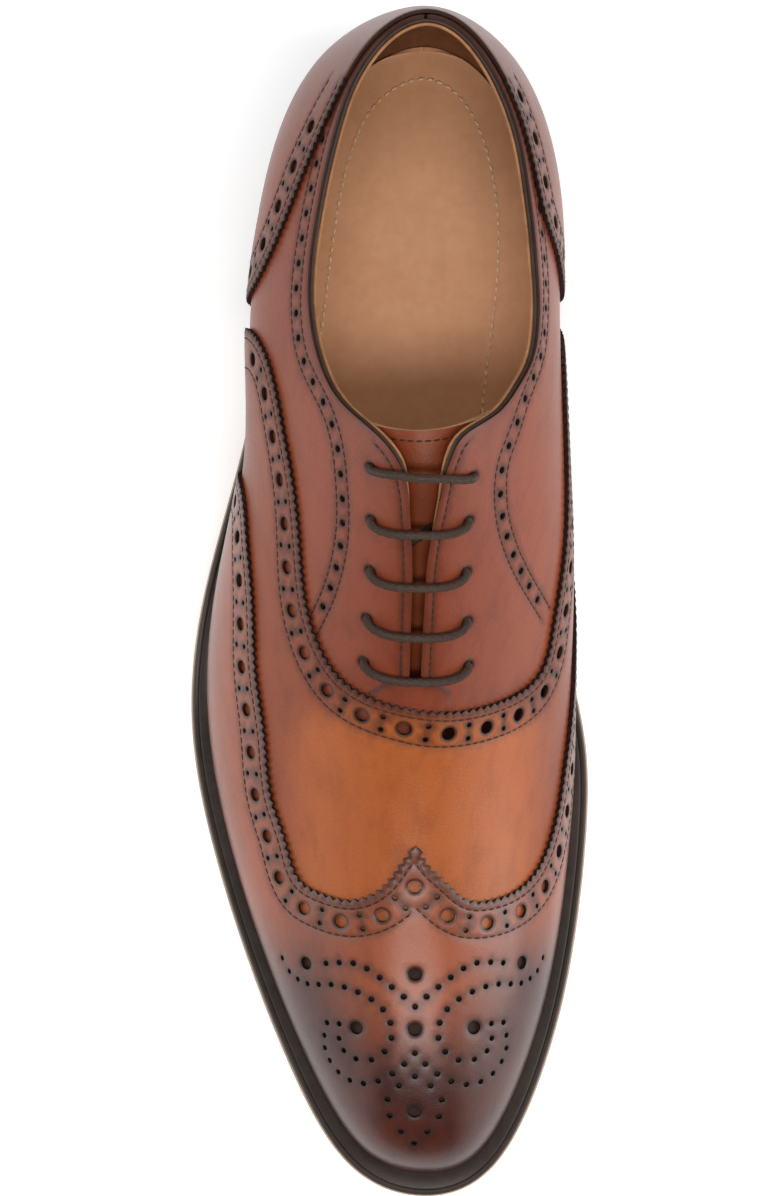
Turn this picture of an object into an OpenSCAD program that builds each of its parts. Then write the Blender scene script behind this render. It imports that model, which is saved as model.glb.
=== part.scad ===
// Leather oxford shoe, full brogue, right foot. Units: mm.
// Z is up, +Y points to the heel, -Y to the toe, +X to the inner (medial) side of the foot.
// The origin is under the middle of the shoe, on the floor.

/* [Sole] */
// Thickness of the leather outsole
outsole_thickness = 4.2; // [3:0.1:6]
// Thickness of the welt strip
welt_thickness = 3.2; // [2:0.1:4]
// Height of the toe tip above the floor
toe_spring = 12; // [0:0.5:20]
// Height of the heel, from the floor to the outsole
heel_height = 24; // [15:0.5:35]
// Thickness of the heel top piece that meets the floor
top_piece_thickness = 5; // [3:0.5:8]
// Thickness of the insole board
insole_thickness = 2.2; // [1.5:0.1:4]

/* [Leathers] */
// Thickness of every outer leather
leather = 1.0; // [0.8:0.1:1.6]
// Thickness of the lining leather
lining = 0.8; // [0.5:0.1:1.2]
// Gap left between two layers that are sewn or glued together
seam_gap = 0.4; // [0.3:0.05:0.6]
// Diameter of the large brogue holes
brogue_hole = 3.0; // [2:0.1:4]

/* [Lacing] */
// Diameter of the round lace
lace_diameter = 2.6; // [1.5:0.1:4]
// Diameter of a lace hole in the facings
eyelet_hole = 4.2; // [3:0.1:6]
// Depth of the hidden lace runs below the outer surface of the facings
lace_depth = 5.1; // [4.8:0.1:7]

/* [Tongue] */
// Depth of the tongue's outer face below the facings
tongue_depth = 6.9; // [6.6:0.1:9]
// Thickness of the tongue leather
tongue_thickness = 1.2; // [0.8:0.1:2]

/* [Preview] */
// Part to show: "all" or the name of one node

/* [Hidden] */

board_z = outsole_thickness + welt_thickness + 2 * seam_gap; // insole board above the sole's underside
feather = board_z + .4;                             // lower edge of the upper above the sole's underside
g = seam_gap;
lift_h = (heel_height - top_piece_thickness) / 3;   // one heel lift
r_lace = lace_diameter / 2;

// ---------------------------------------------------------------- ring of stations
// The shoe is described by a closed ring of 22 stations: 0 is the toe, 1 to 10 run back along the
// lateral side, 11 is the heel and 12 to 21 come forward along the medial side. A signed ring
// coordinate q is used for the pieces: positive is lateral, negative is medial.
RING = 22;

// Outline of the outsole at each station
OUTLINE = [[8.5, -155], [-11, -146.5], [-26, -122], [-39, -89.5], [-49, -56], [-53.3, -25], [-49.5, 6],
    [-40.5, 38], [-33, 72], [-28.5, 106], [-17, 140], [9, 155], [33, 140], [43, 106], [41, 72], [38, 38],
    [43.5, 4], [51, -26], [53, -52], [49.5, -86], [42, -118], [28, -146.5]];

// Half-ring tables, toe to heel: a lateral and a medial list, or one list for both sides
function around(l, m) = [for (k = [0:11]) l[k], for (k = [10:-1:1]) m[k]];

// Distance from the outsole edge in to the foot of the upper
INSET = around([9.5, 8.5, 8, 7.6, 7.6, 7.4, 6, 4.5, 3.5, 3.5, 3.5, 4],
               [9.5, 8.5, 8, 7.6, 7.2, 5.5, 4, 3, 3, 3.5, 3.5, 4]);
// Point on the crown line that each section leans towards
AX = around([6.5, 6.5, 6.5, 6.5, 6.5, 6.5, 7.5, 8.5, 7, 6, 8, 9], [6.5, 6.5, 6.5, 6.5, 6.5, 6.5, 7.5, 8.5, 7, 6, 8, 9]);
AY = around([-100, -100, -100, -90, -58, -27, 3, 36, 72, 104, 114, 116],
            [-100, -100, -100, -90, -58, -27, 3, 36, 72, 104, 114, 116]);
// How far the side swells outwards above the sole, and how high up
SWELL = around([1.5, 1.5, 2, 2.5, 3, 3.5, 4, 8, 24, 23, 16, 8], [1.5, 1.5, 2, 2.5, 3, 7.5, 24, 29, 16, 12, 10, 8]);
SWELL_H = around([13, 13, 13, 14, 16, 20, 25, 28, 28, 26, 25, 24], [13, 13, 13, 14, 17, 23, 30, 33, 31, 28, 25, 24]);
// Width of the shoulder as a share of the section, and how far it lies below the crown
SHOULDER = around([.74, .72, .66, .60, .50, .42, .38, .42, .42, .46, .62, .84],
                  [.74, .72, .66, .60, .50, .44, .46, .62, .86, .78, .76, .84]);
DROP = around([3.5, 3, 1.6, .3, .6, 2, 5, 9, 20, 20, 20, 20], [3.5, 3, 1.6, .3, .6, 2, 5, 9, 20, 20, 20, 20]);
// Where the section ends: distance from the crown point and height
REACH = around([0, 0, 0, 0, 0, 0, 0, 3, 12, 13, 18, 25], [0, 0, 0, 0, 0, 0, 0, 6, 18, 15, 19, 25]);
CROWN = around([43.5, 43.5, 43.5, 45.5, 54, 68, 88, 106, 112, 110, 110, 110],
               [43.5, 43.5, 43.5, 45.5, 54, 68, 88, 106, 115, 113, 111, 110]);

// ---------------------------------------------------------------- form of the shoe
function unit(v) = v / norm(v);
function mix(a, b, f) = a + (b - a) * f;
function smooth(f) = let (c = max(0, min(1, f))) c * c * (3 - 2 * c);
function at(L, k) = L[((k % RING) + RING) % RING];
// Catmull-Rom curve through the closed ring
function ring(L, p) = let (k = floor(p), u = p - k, a = at(L, k - 1), b = at(L, k), c = at(L, k + 1), d = at(L, k + 2))
    .5 * (2 * b + u * (c - a) + u * u * (2 * a - 5 * b + 4 * c - d) + u * u * u * (3 * b - a - 3 * c + d));
function edge_dir(p) = unit(ring(OUTLINE, p + .02) - ring(OUTLINE, p - .02));
// Point on the outline moved inwards
function edge(p, inset) = let (e = ring(OUTLINE, p), d = edge_dir(p)) e + inset * [d[1], -d[0]];
// Underside of the outsole: toe spring, flat tread, rise to the heel seat
function under(y) = toe_spring * pow(max(0, (-55 - y) / 100), 1.8) + heel_height * smooth((y + 32) / 107);

// Four control points of the section at ring position p
function section(p) = let (f = edge(p, ring(INSET, p)), a = [ring(AX, p), ring(AY, p)], run = norm(f - a),
        d = (f - a) / run, z = under(f[1]) + feather, z3 = ring(CROWN, p),
        b1 = f + d * ring(SWELL, p), b2 = a + d * run * ring(SHOULDER, p), b3 = a + d * ring(REACH, p))
    [[f[0], f[1], z], [b1[0], b1[1], z + ring(SWELL_H, p)], [b2[0], b2[1], z3 - ring(DROP, p)], [b3[0], b3[1], z3]];
// Point of the form: t = 0 at the sole, t = 1 on the crown
function form(p, t) = let (b = section(p), u = 1 - t)
    u * u * u * b[0] + 3 * u * u * t * b[1] + 3 * u * t * t * b[2] + t * t * t * b[3];
function side_normal(p, t) = let (c = min(t, .975)) unit(cross(form(p - .03, c) - form(p + .03, c), form(p, c + .015) - form(p, max(0, c - .015))));
// Outward normal, shared by both sides along the crown line
function outward(p, t) = t > .985 ? unit(side_normal(p, .95) + side_normal(-p, .95)) : side_normal(p, t);
// Point of a layer: h is the height above the form
function layer(p, t, h) = form(p, t) + h * outward(p, t);

// Topline: share of the section at which the upper ends, for each side
TOP_LATERAL = [[4.7, .955], [6.6, .955], [6.75, .945], [6.9, .91], [7.08, .83], [7.3, .715], [7.44, .672], [7.64, .642],
    [7.86, .627], [8.1, .62], [8.4, .626], [8.7, .645], [9, .669], [9.4, .7], [9.84, .716], [10.2, .722], [10.6, .726], [11, .73]];
TOP_MEDIAL = [[4.7, .955], [6.6, .955], [6.75, .965], [6.9, .965], [7.08, .95], [7.2, .85], [7.3, .735], [7.48, .65], [7.72, .6], [8, .597],
    [8.3, .61], [8.6, .613], [8.86, .617], [9.22, .625], [9.56, .66], [9.84, .695], [10.2, .712], [10.6, .722], [11, .73]];
function topline(q) = lookup(abs(q), q >= 0 ? TOP_LATERAL : TOP_MEDIAL);

// ---------------------------------------------------------------- shell builder
// grid[i][j] = [p, t, low, high]: a sheet between the heights low and high, i runs with rising p.
// fold > 0 joins the last row of the middle columns to itself: a cap closed over the crown.
module shell(grid, fold = 0) {
    ni = len(grid); nj = len(grid[0]); mid = (ni - 1) / 2;
    flat = [for (c = grid) for (v = c) v];
    pts = concat([for (v = flat) layer(v[0], v[1], v[3])], [for (v = flat) layer(v[0], v[1], v[2])]);
    n = ni * nj;
    function id(i, j) = (j == nj - 1 && i > mid && i - mid <= fold) ? (2 * mid - i) * nj + j : i * nj + j;
    function open(i) = !(fold > 0 && i >= mid - fold && i < mid + fold);
    faces = concat(
        [for (i = [0:ni - 2]) for (j = [0:nj - 2]) each
            [[id(i, j), id(i + 1, j), id(i + 1, j + 1)], [id(i, j), id(i + 1, j + 1), id(i, j + 1)]]],
        [for (i = [0:ni - 2]) for (j = [0:nj - 2]) each
            [[n + id(i + 1, j + 1), n + id(i + 1, j), n + id(i, j)], [n + id(i, j + 1), n + id(i + 1, j + 1), n + id(i, j)]]],
        [for (i = [0:ni - 2]) each
            [[id(i + 1, 0), id(i, 0), n + id(i, 0)], [id(i + 1, 0), n + id(i, 0), n + id(i + 1, 0)]]],
        [for (i = [0:ni - 2]) if (open(i)) each
            [[id(i, nj - 1), id(i + 1, nj - 1), n + id(i + 1, nj - 1)], [id(i, nj - 1), n + id(i + 1, nj - 1), n + id(i, nj - 1)]]],
        [for (j = [0:nj - 2]) each
            [[id(0, j), id(0, j + 1), n + id(0, j + 1)], [id(0, j), n + id(0, j + 1), n + id(0, j)]]],
        [for (j = [0:nj - 2]) each
            [[id(ni - 1, j + 1), id(ni - 1, j), n + id(ni - 1, j)], [id(ni - 1, j + 1), n + id(ni - 1, j), n + id(ni - 1, j + 1)]]]);
    polyhedron(points = pts, faces = faces, convexity = 8);
}

// Sheet between two boundary curves given as rows [q, t] from one tail to the other
function between(A, B, steps, low, high, bend = 1) = [for (i = [0:len(A) - 1]) [for (j = [0:steps])
    let (v = j / steps) [mix(A[i][0], B[i][0], pow(v, bend)), mix(A[i][1], B[i][1], v), low, high]]];
// Medial rows first (mirrored in the ring), then lateral rows, each given from the tail inwards
function both(med, lat) = concat([for (r = med) [-r[0], r[1]]], [for (k = [len(lat) - 2:-1:0]) lat[k]]);
function both_back(lat, med) = concat([for (r = lat) r], [for (k = [len(med) - 2:-1:0]) [RING - med[k][0], med[k][1]]]);
// Extra rows halfway between the given ones
function denser(L) = [for (i = [0:len(L) - 1]) each (i == 0 ? [L[0]] : [(L[i - 1] + L[i]) / 2, L[i]])];

// Straight punch through the layers at [q, t]
module punch(q, t, d, low = -6, high = 4, sides = 8) {
    a = layer(q, t, 0); m = outward(q, t);
    translate(a + m * low)
        rotate([0, acos(m[2]), atan2(m[1], m[0])])
            rotate(13) cylinder(d = d, h = high - low, $fn = sides);
}

// Flat sheet that follows the sole from z0 to z1 above its underside
module plate(inset, z0, z1, add = 0, from = .5, to = 10.6, steps = 34) {
    ps = [for (k = [0:steps]) mix(from, to, k / steps)];
    function in_at(p) = inset + (add > 0 ? ring(INSET, p) : 0);
    rows = [for (p = ps) let (l = edge(p, in_at(p)), r = edge(-p, in_at(-p))) [l, (l + r) / 2, r]];
    tips = [edge(0, in_at(0)), edge(11, in_at(11))];
    flat = concat([for (r = rows) for (v = r) v], tips);
    n = len(flat); m = len(ps); a = n - 2; b = n - 1;
    pts = concat([for (v = flat) [v[0], v[1], under(v[1]) + z1]], [for (v = flat) [v[0], v[1], under(v[1]) + z0]]);
    top = concat([for (i = [0:m - 2]) for (c = [0, 1]) each
            [[3 * i + c, 3 * i + 3 + c, 3 * i + 4 + c], [3 * i + c, 3 * i + 4 + c, 3 * i + 1 + c]]],
        [[a, 0, 1], [a, 1, 2]], [[b, 3 * m - 2, 3 * m - 3], [b, 3 * m - 1, 3 * m - 2]]);
    loop = concat([a], [for (i = [0:m - 1]) 3 * i], [b], [for (i = [m - 1:-1:0]) 3 * i + 2]);
    nl = len(loop);
    polyhedron(points = pts, faces = concat(top, [for (f = top) [n + f[2], n + f[1], n + f[0]]],
        [for (k = [0:nl - 1]) let (u = loop[k], v = loop[(k + 1) % nl]) each [[v, u, n + u], [v, n + u, n + v]]]), convexity = 6);
}

// Round cord through a list of points
module cord(path, r, sides = 8) {
    m = len(path);
    dirs = [for (i = [0:m - 1]) unit(path[min(i + 1, m - 1)] - path[max(i - 1, 0)])];
    function side_of(d) = unit(cross(d, abs(d[2]) > .9 ? [0, 1, 0] : [0, 0, 1]));
    // each ring's frame is carried over from the one before
    function carry(u, d) = unit(u - d * (u * d));
    function frames(i) = i == 0 ? [side_of(dirs[0])] : let (f = frames(i - 1)) concat(f, [carry(f[i - 1], dirs[i])]);
    fr = frames(m - 1);
    pts = concat([for (i = [0:m - 1]) for (k = [0:sides - 1])
        path[i] + r * (cos(k * 360 / sides) * fr[i] + sin(k * 360 / sides) * cross(dirs[i], fr[i]))]);
    polyhedron(points = pts, faces = concat([[for (k = [0:sides - 1]) k]],
        [for (i = [0:m - 2]) for (k = [0:sides - 1]) let (a = i * sides + k, b = i * sides + (k + 1) % sides) each
            [[a, a + sides, b + sides], [a, b + sides, b]]],
        [[for (k = [sides - 1:-1:0]) (m - 1) * sides + k]]), convexity = 6);
}

// ---------------------------------------------------------------- bottom of the shoe
module outsole() color([.16, .12, .10]) plate(0, 0, outsole_thickness, from = .25, to = 10.75, steps = 46);

module welt() color([.14, .10, .08]) {
    n = 84; z0 = outsole_thickness + g; z1 = z0 + welt_thickness;
    rows = [for (k = [0:n - 1]) let (p = k * RING / n, a = edge(p, .4), b = edge(p, ring(INSET, p) + 2)) [a, b]];
    pts = [for (r = rows) each [[r[0][0], r[0][1], under(r[0][1]) + z0], [r[0][0], r[0][1], under(r[0][1]) + z1],
        [r[1][0], r[1][1], under(r[1][1]) + z1], [r[1][0], r[1][1], under(r[1][1]) + z0]]];
    polyhedron(points = pts, faces = [for (k = [0:n - 1]) for (c = [0:3])
        let (a = 4 * k, b = 4 * ((k + 1) % n), d = (c + 1) % 4) each [[a + c, b + c, b + d], [a + c, b + d, a + d]]], convexity = 6);
}

module cork_filler() color([.62, .45, .28]) plate(2.6, outsole_thickness + g, outsole_thickness + g + 1.4, add = 1, from = .6, to = 10.4, steps = 30);

module shank() color([.55, .56, .58]) {
    ys = [for (k = [0:14]) mix(-12, 100, k / 14)];
    z0 = outsole_thickness + g + 1.4 + g; z1 = z0 + 1.2;
    pts = [for (y = ys) for (c = [[-4, z0], [-4, z1], [10, z1], [10, z0]]) [c[0], y, under(y) + c[1]]];
    polyhedron(points = pts, faces = concat([[0, 1, 2, 3]], [for (k = [0:13]) for (c = [0:3])
        let (a = 4 * k, b = a + 4, d = (c + 1) % 4) each [[a + c, b + d, a + d], [a + c, b + c, b + d]]], [[59, 58, 57, 56]]), convexity = 4);
}

module insole_board() color([.72, .56, .38]) plate(4.4, board_z, board_z + insole_thickness, add = 1, from = .6, to = 10.4, steps = 32);

module sock_cushion() color([.80, .76, .66]) plate(9, board_z + insole_thickness + g, board_z + insole_thickness + g + 1.8, add = 1, from = 1, to = 10, steps = 28);

module sock_lining() color([.70, .48, .33]) plate(4.9, board_z + insole_thickness + 2 * g + 1.8,
    board_z + insole_thickness + 2 * g + 2.8, add = 1, from = .6, to = 10.4, steps = 32);

// ---------------------------------------------------------------- stacked heel
NAILS = [[9, 143], [-12, 126], [29, 126], [-17, 100], [33, 100]];
PINS = [[-24, 86], [-18, 86], [-12, 89], [30, 89], [36, 86], [-21, 96], [33, 96]];

module heel_outline(inset) {
    side = [for (k = [0:40]) edge(mix(8.22, 13.78, k / 40), inset)];
    last = len(side) - 1;
    breast = [for (k = [1:7]) let (v = k / 8) mix(side[last], side[0], v) + [0, 22 * v * (1 - v)]];
    polygon(concat(side, breast));
}
module heel_layer(z, h, inset, drill = true) translate([0, 0, z]) linear_extrude(h) difference() {
    heel_outline(inset);
    if (drill) for (c = NAILS) translate(c) circle(r = 1.1, $fn = 16);
}
module heel_lift_1() color([.24, .15, .10]) heel_layer(top_piece_thickness + 2 * lift_h, lift_h - .1, .8);
module heel_lift_2() color([.27, .17, .11]) heel_layer(top_piece_thickness + lift_h, lift_h, 1.3);
module heel_lift_3() color([.24, .15, .10]) heel_layer(top_piece_thickness, lift_h, 1.8);
module top_piece_leather() color([.30, .19, .12]) linear_extrude(top_piece_thickness) difference() {
    intersection() { heel_outline(2.2); translate([-60, 60]) square([120, 57.8]); }
    for (c = PINS) translate(c) circle(r = .95, $fn = 12);
}
module top_piece_rubber() color([.10, .10, .10]) linear_extrude(top_piece_thickness)
    intersection() { heel_outline(2.2); translate([-60, 118]) square([120, 60]); }
module heel_nails() color([.60, .60, .62]) for (c = NAILS) translate([c[0], c[1], top_piece_thickness + .2]) cylinder(r = 1, h = 3 * lift_h - .8, $fn = 24);
module top_piece_pins() color([.78, .62, .30]) for (c = PINS) translate([c[0], c[1], .2]) cylinder(r = .8, h = top_piece_thickness - .4, $fn = 24);

// ---------------------------------------------------------------- outer leathers
// Heights of the three outer layers above the form
q_low = -leather; q_high = 0;
v_low = g; v_high = g + leather;
w_low = 2 * g + leather; w_high = 2 * g + 2 * leather;

// Foot and top edge of the wing cap, from the tail to the toe: [foot position, edge position, edge share]
WING_L = [[6.95, 6.95, .10], [6.6, 6.65, .25], [6.2, 6.25, .34], [5.8, 5.85, .39], [5.4, 5.45, .42], [5, 5.05, .445],
    [4.6, 4.65, .465], [4.2, 4.3, .475], [3.85, 3.95, .505], [3.5, 3.6, .55], [3.25, 3.46, .62], [3, 3.42, .70],
    [2.75, 3.43, .78], [2.5, 3.5, .855], [2.25, 3.6, .91], [2, 3.72, .96], [1.75, 3.8, 1], [1.45, 3.4, 1], [1.15, 3.05, 1],
    [.85, 2.75, 1], [.55, 2.45, 1], [.27, 2.2, 1], [0, 2, 1]];
WING_M = [[6.95, 6.95, .10], [6.6, 6.62, .135], [6.2, 6.2, .155], [5.8, 5.8, .17], [5.4, 5.4, .175], [5, 5, .19],
    [4.6, 4.6, .225], [4.2, 4.2, .27], [3.85, 3.86, .325], [3.5, 3.56, .42], [3.25, 3.42, .51], [3, 3.36, .60],
    [2.75, 3.36, .70], [2.5, 3.41, .79], [2.25, 3.54, .87], [2, 3.70, .95], [1.75, 3.8, 1], [1.45, 3.4, 1], [1.15, 3.05, 1],
    [.85, 2.75, 1], [.55, 2.45, 1], [.27, 2.2, 1], [0, 2, 1]];
function foot_of(L) = [for (r = L) [r[0], .022]];
function edge_of(L) = [for (r = L) [r[1], r[2]]];

// Large holes of the brogue band along the wing edge and of the toe medallion: [q, t]
WING_HOLES = [[6.45, .22], [6.0, .29], [5.5, .34], [5.0, .365], [4.55, .385], [4.1, .40], [3.7, .43], [3.36, .49], [3.2, .585],
    [3.17, .69], [3.22, .79], [3.38, .88], [3.62, .99], [-6.2, .085], [-5.7, .10], [-5.2, .105], [-4.7, .135], [-4.25, .17],
    [-3.8, .225], [-3.45, .31], [-3.22, .41], [-3.13, .52], [-3.1, .63], [-3.13, .735], [-3.3, .86],
    [2.85, .99], [2.45, .99], [2.1, .75], [-2.1, .75], [2.8, .56], [-2.75, .50], [.2, .78]];

module wing_cap() color([.50, .26, .13]) difference() {
    shell(between(both(foot_of(WING_M), foot_of(WING_L)), both(edge_of(WING_M), edge_of(WING_L)), 9, w_low, w_high, 3), 6);
    for (h = WING_HOLES) punch(h[0], h[1], brogue_hole, .8, 4);
}

// Lower (hidden) and upper (pinked) edge of the vamp, from the tail to the crown
VAMP_LOW_L = [[6.4, .02], [6.2, .12], [5.9, .21], [5.5, .27], [5, .305], [4.5, .33], [4.1, .35], [3.7, .38], [3.42, .43], [3.25, .52],
    [3.16, .62], [3.14, .72], [3.16, .80], [3.22, .88], [3.3, .95], [3.36, 1]];
VAMP_TOP_L = [[8.05, .02], [8, .2], [7.9, .35], [7.62, .425], [7.25, .46], [6.85, .50], [6.45, .54], [6.1, .57], [5.8, .60], [5.5, .65],
    [5.28, .71], [5.13, .78], [5.05, .85], [5, .91], [4.97, .96], [4.96, 1]];
VAMP_LOW_M = [[6.1, .02], [5.95, .03], [5.6, .04], [5.2, .05], [4.8, .08], [4.4, .115], [4, .16], [3.7, .21], [3.45, .28], [3.27, .37],
    [3.15, .47], [3.08, .58], [3.06, .68], [3.1, .78], [3.2, .89], [3.36, 1]];
VAMP_TOP_M = [[8.05, .02], [8, .15], [7.85, .26], [7.5, .31], [7.1, .33], [6.7, .345], [6.38, .36], [6.02, .385], [5.72, .41], [5.44, .445],
    [5.26, .50], [5.12, .58], [5.03, .67], [4.97, .77], [4.94, .88], [4.96, 1]];
VAMP_HOLES = [[7.45, .37], [7.05, .40], [6.65, .44], [6.25, .48], [5.88, .52], [5.5, .565], [5.2, .63], [4.98, .71], [4.87, .80],
    [4.81, .91], [-7.5, .235], [-7.05, .255], [-6.6, .27], [-6.15, .30], [-5.72, .325], [-5.35, .37], [-5.1, .45], [-4.92, .55],
    [-4.83, .66], [-4.79, .78], [-4.79, .90]];

module vamp() color([.62, .33, .15]) difference() {
    shell(between(both(denser(VAMP_LOW_M), denser(VAMP_LOW_L)), both(denser(VAMP_TOP_M), denser(VAMP_TOP_L)), 8, v_low, v_high));
    for (h = VAMP_HOLES) punch(h[0], h[1], brogue_hole, -.15, 3);
}

// Quarter with its facing: front edge to heel seam
QUARTER_FOOT = [5.6, 5.65, 5.75, 5.9, 6.1, 6.3, 6.5, 6.7, 6.88, 7.05, 7.2, 7.35, 7.5, 7.65, 7.8, 7.95, 8.1, 8.25, 8.4,
    8.55, 8.7, 8.85, 9, 9.15, 9.3, 9.45, 9.6, 9.78, 9.95, 10.12, 10.3, 10.5, 10.72, 10.96];
QUARTER_TOP = [4.72, 4.95, 5.2, 5.45, 5.7, 5.95, 6.2, 6.45, 6.65, 6.83, 6.97, 7.1, 7.23, 7.38, 7.55, 7.73, 7.92, 8.12, 8.32,
    8.52, 8.7, 8.87, 9.03, 9.18, 9.33, 9.47, 9.62, 9.79, 9.95, 10.12, 10.3, 10.5, 10.72, 10.96];
EYELETS = [5.34, 5.70, 6.08, 6.46, 6.84];
function eyelet_share(q) = q > 0 ? .805 : lookup(-q, [[5.3, .765], [6.8, .82]]);
module lace_holes(side) for (q = EYELETS) punch(side * q, eyelet_share(side * q), eyelet_hole, -4.2, 2, 12);

function quarter_grid(side, low, high, steps, top_less = 0) = let (n = len(QUARTER_FOOT) - 1)
    [for (k = [0:n]) let (i = side > 0 ? k : n - k, a = side * QUARTER_FOOT[i], b = side * QUARTER_TOP[i])
        [for (j = [0:steps]) let (v = j / steps) [mix(a, b, v), v * (topline(b) - top_less), low, high]]];

module quarter_lateral() color([.52, .27, .15]) difference() {
    shell(quarter_grid(1, q_low, q_high, 11));
    lace_holes(1);
}
module quarter_medial() color([.52, .27, .15]) difference() {
    shell(quarter_grid(-1, q_low, q_high, 11));
    lace_holes(-1);
}

// Cover of the heel counter, lateral tail round the heel to the medial tail
COUNTER_FOOT = [8.2, 8.25, 8.32, 8.45, 8.62, 8.8, 9.0, 9.25, 9.5, 9.75, 10, 10.25, 10.5, 10.75, 11];
COUNTER_L = [[8.21, .06], [8.24, .2], [8.29, .32], [8.46, .42], [8.7, .495], [8.95, .555], [9.22, .61], [9.5, .66], [9.75, .69],
    [9.95, .70], [10.15, .704], [10.35, .708], [10.57, .711], [10.78, .714], [11, .717]];
COUNTER_M = [[8.21, .06], [8.23, .17], [8.27, .28], [8.46, .40], [8.66, .475], [8.92, .54], [9.18, .58], [9.45, .62], [9.7, .655],
    [9.95, .69], [10.15, .698], [10.35, .706], [10.57, .711], [10.78, .714], [11, .717]];
COUNTER_HOLES = [[8.6, .33], [8.85, .42], [9.12, .49], [9.42, .55], [9.75, .60], [10.15, .625], [10.6, .64], [-8.6, .31], [-8.85, .40],
    [-9.12, .47], [-9.42, .525], [-9.75, .575], [-10.15, .61], [-10.6, .635], [11, .64]];
module counter_cover() color([.46, .24, .13]) difference() {
    shell(between(both_back(denser([for (f = COUNTER_FOOT) [f, .02]]), denser([for (f = COUNTER_FOOT) [f, .02]])),
        both_back(denser(COUNTER_L), denser(COUNTER_M)), 8, v_low, v_high));
    for (h = COUNTER_HOLES) punch(h[0], h[1], brogue_hole, -.15, 3);
}

// Crescent that closes the foot of the lacing gap
module throat_tab() color([.44, .21, .12])
    shell([for (r = [[-5.09, .80, -5.11, .80], [-5.06, .85, -5.14, .85], [-5.04, .90, -5.18, .89], [-5.03, .95, -5.21, .945],
        [5.03, .98, 5.22, .985], [5.05, .94, 5.21, .94], [5.08, .89, 5.18, .89], [5.12, .85, 5.15, .85]])
        [for (j = [0:2]) let (v = j / 2) [mix(r[0], r[2], v), mix(r[1], r[3], v), g, g + .8]]]);

// ---------------------------------------------------------------- inner leathers and stiffening
function crown_cap(p_foot, p_crown, cols, steps, low, high) = [for (i = [-cols:cols]) let (s = abs(i) / cols, sgn = i < 0 ? -1 : 1)
    [for (j = [0:steps]) let (v = j / steps) [sgn * mix(s * p_foot, mix(2, p_crown, s), v * v), v, low, high]]];
// rows run from the medial end to the lateral end
module toe_puff() color([.78, .74, .64]) shell(crown_cap(3.0, 2.95, 14, 8, .1, g + leather - .1), 14);
module vamp_lining() color([.66, .45, .28]) shell(crown_cap(5.15, 4.45, 20, 8, -g - lining, -g), 20);

module heel_stiffener() color([.74, .68, .56])
    shell([for (k = [0:26]) let (q = mix(8.55, 13.45, k / 26), top = .50 + .08 * sin((q - 8.55) / 4.9 * 180))
        [for (j = [0:6]) [q, mix(.01, top, j / 6), -leather - g - .9, -leather - g]]]);

// Depth of the lining's outer face: thin at the topline, deeper where the stiffener lies
function lining_top(q, t) = let (a = abs(q) > 11 ? RING - abs(q) : abs(q)) -(leather + g + .3 + g) - .35 * smooth((topline(q > 11 ? q - RING : q) - t) / .1)
    - .45 * smooth((a - 7.6) / .7) * smooth((topline(q > 11 ? q - RING : q) - t) / .12);
function lined(q, t) = let (h = lining_top(q, t)) [q, t, h - lining, h];
LINING_FOOT = [5.66, 5.8, 6.0, 6.25, 6.5, 6.75, 7.0, 7.2, 7.4, 7.6, 7.8, 8.0, 8.2, 8.4, 8.58];
LINING_TOP = [4.78, 5.1, 5.4, 5.7, 6.0, 6.3, 6.58, 6.8, 6.97, 7.12, 7.3, 7.55, 7.85, 8.2, 8.58];
function lining_grid(side) = let (n = len(LINING_FOOT) - 1) [for (k = [0:n])
    let (i = side > 0 ? k : n - k, a = side * LINING_FOOT[i], b = side * LINING_TOP[i])
        [for (j = [0:9]) let (v = j / 9) lined(mix(a, b, v), v * topline(b))]];
module quarter_lining_lateral() color([.70, .48, .30]) difference() { shell(lining_grid(1)); lace_holes(1); }
module quarter_lining_medial() color([.70, .48, .30]) difference() { shell(lining_grid(-1)); lace_holes(-1); }
module heel_lining() color([.46, .30, .20])
    shell([for (k = [0:26]) let (q = mix(8.64, 13.36, k / 26)) [for (j = [0:8]) lined(q, j / 8 * topline(q > 11 ? q - RING : q))]]);

function stay_grid(side) = let (rows = [for (k = [0:10]) mix(4.95, 6.98, k / 10)])
    [for (k = [0:10]) let (q = rows[side > 0 ? k : 10 - k], hi = topline(side * q) - .025)
        [for (j = [0:3]) [side * q, mix(.71, hi, j / 3), -leather - g - .3, -leather - g]]];
module facing_stay_lateral() color([.82, .80, .72]) difference() { shell(stay_grid(1)); lace_holes(1); }
module facing_stay_medial() color([.82, .80, .72]) difference() { shell(stay_grid(-1)); lace_holes(-1); }

module topline_beading() color([.20, .12, .09])
    shell([for (k = [0:54]) let (q = mix(7.06, 14.94, k / 54), top = topline(q > 11 ? q - RING : q))
        [for (j = [0:1]) [q, mix(top - .045, top + .012, j), -leather - g - .3, -leather - g]]]);

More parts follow.
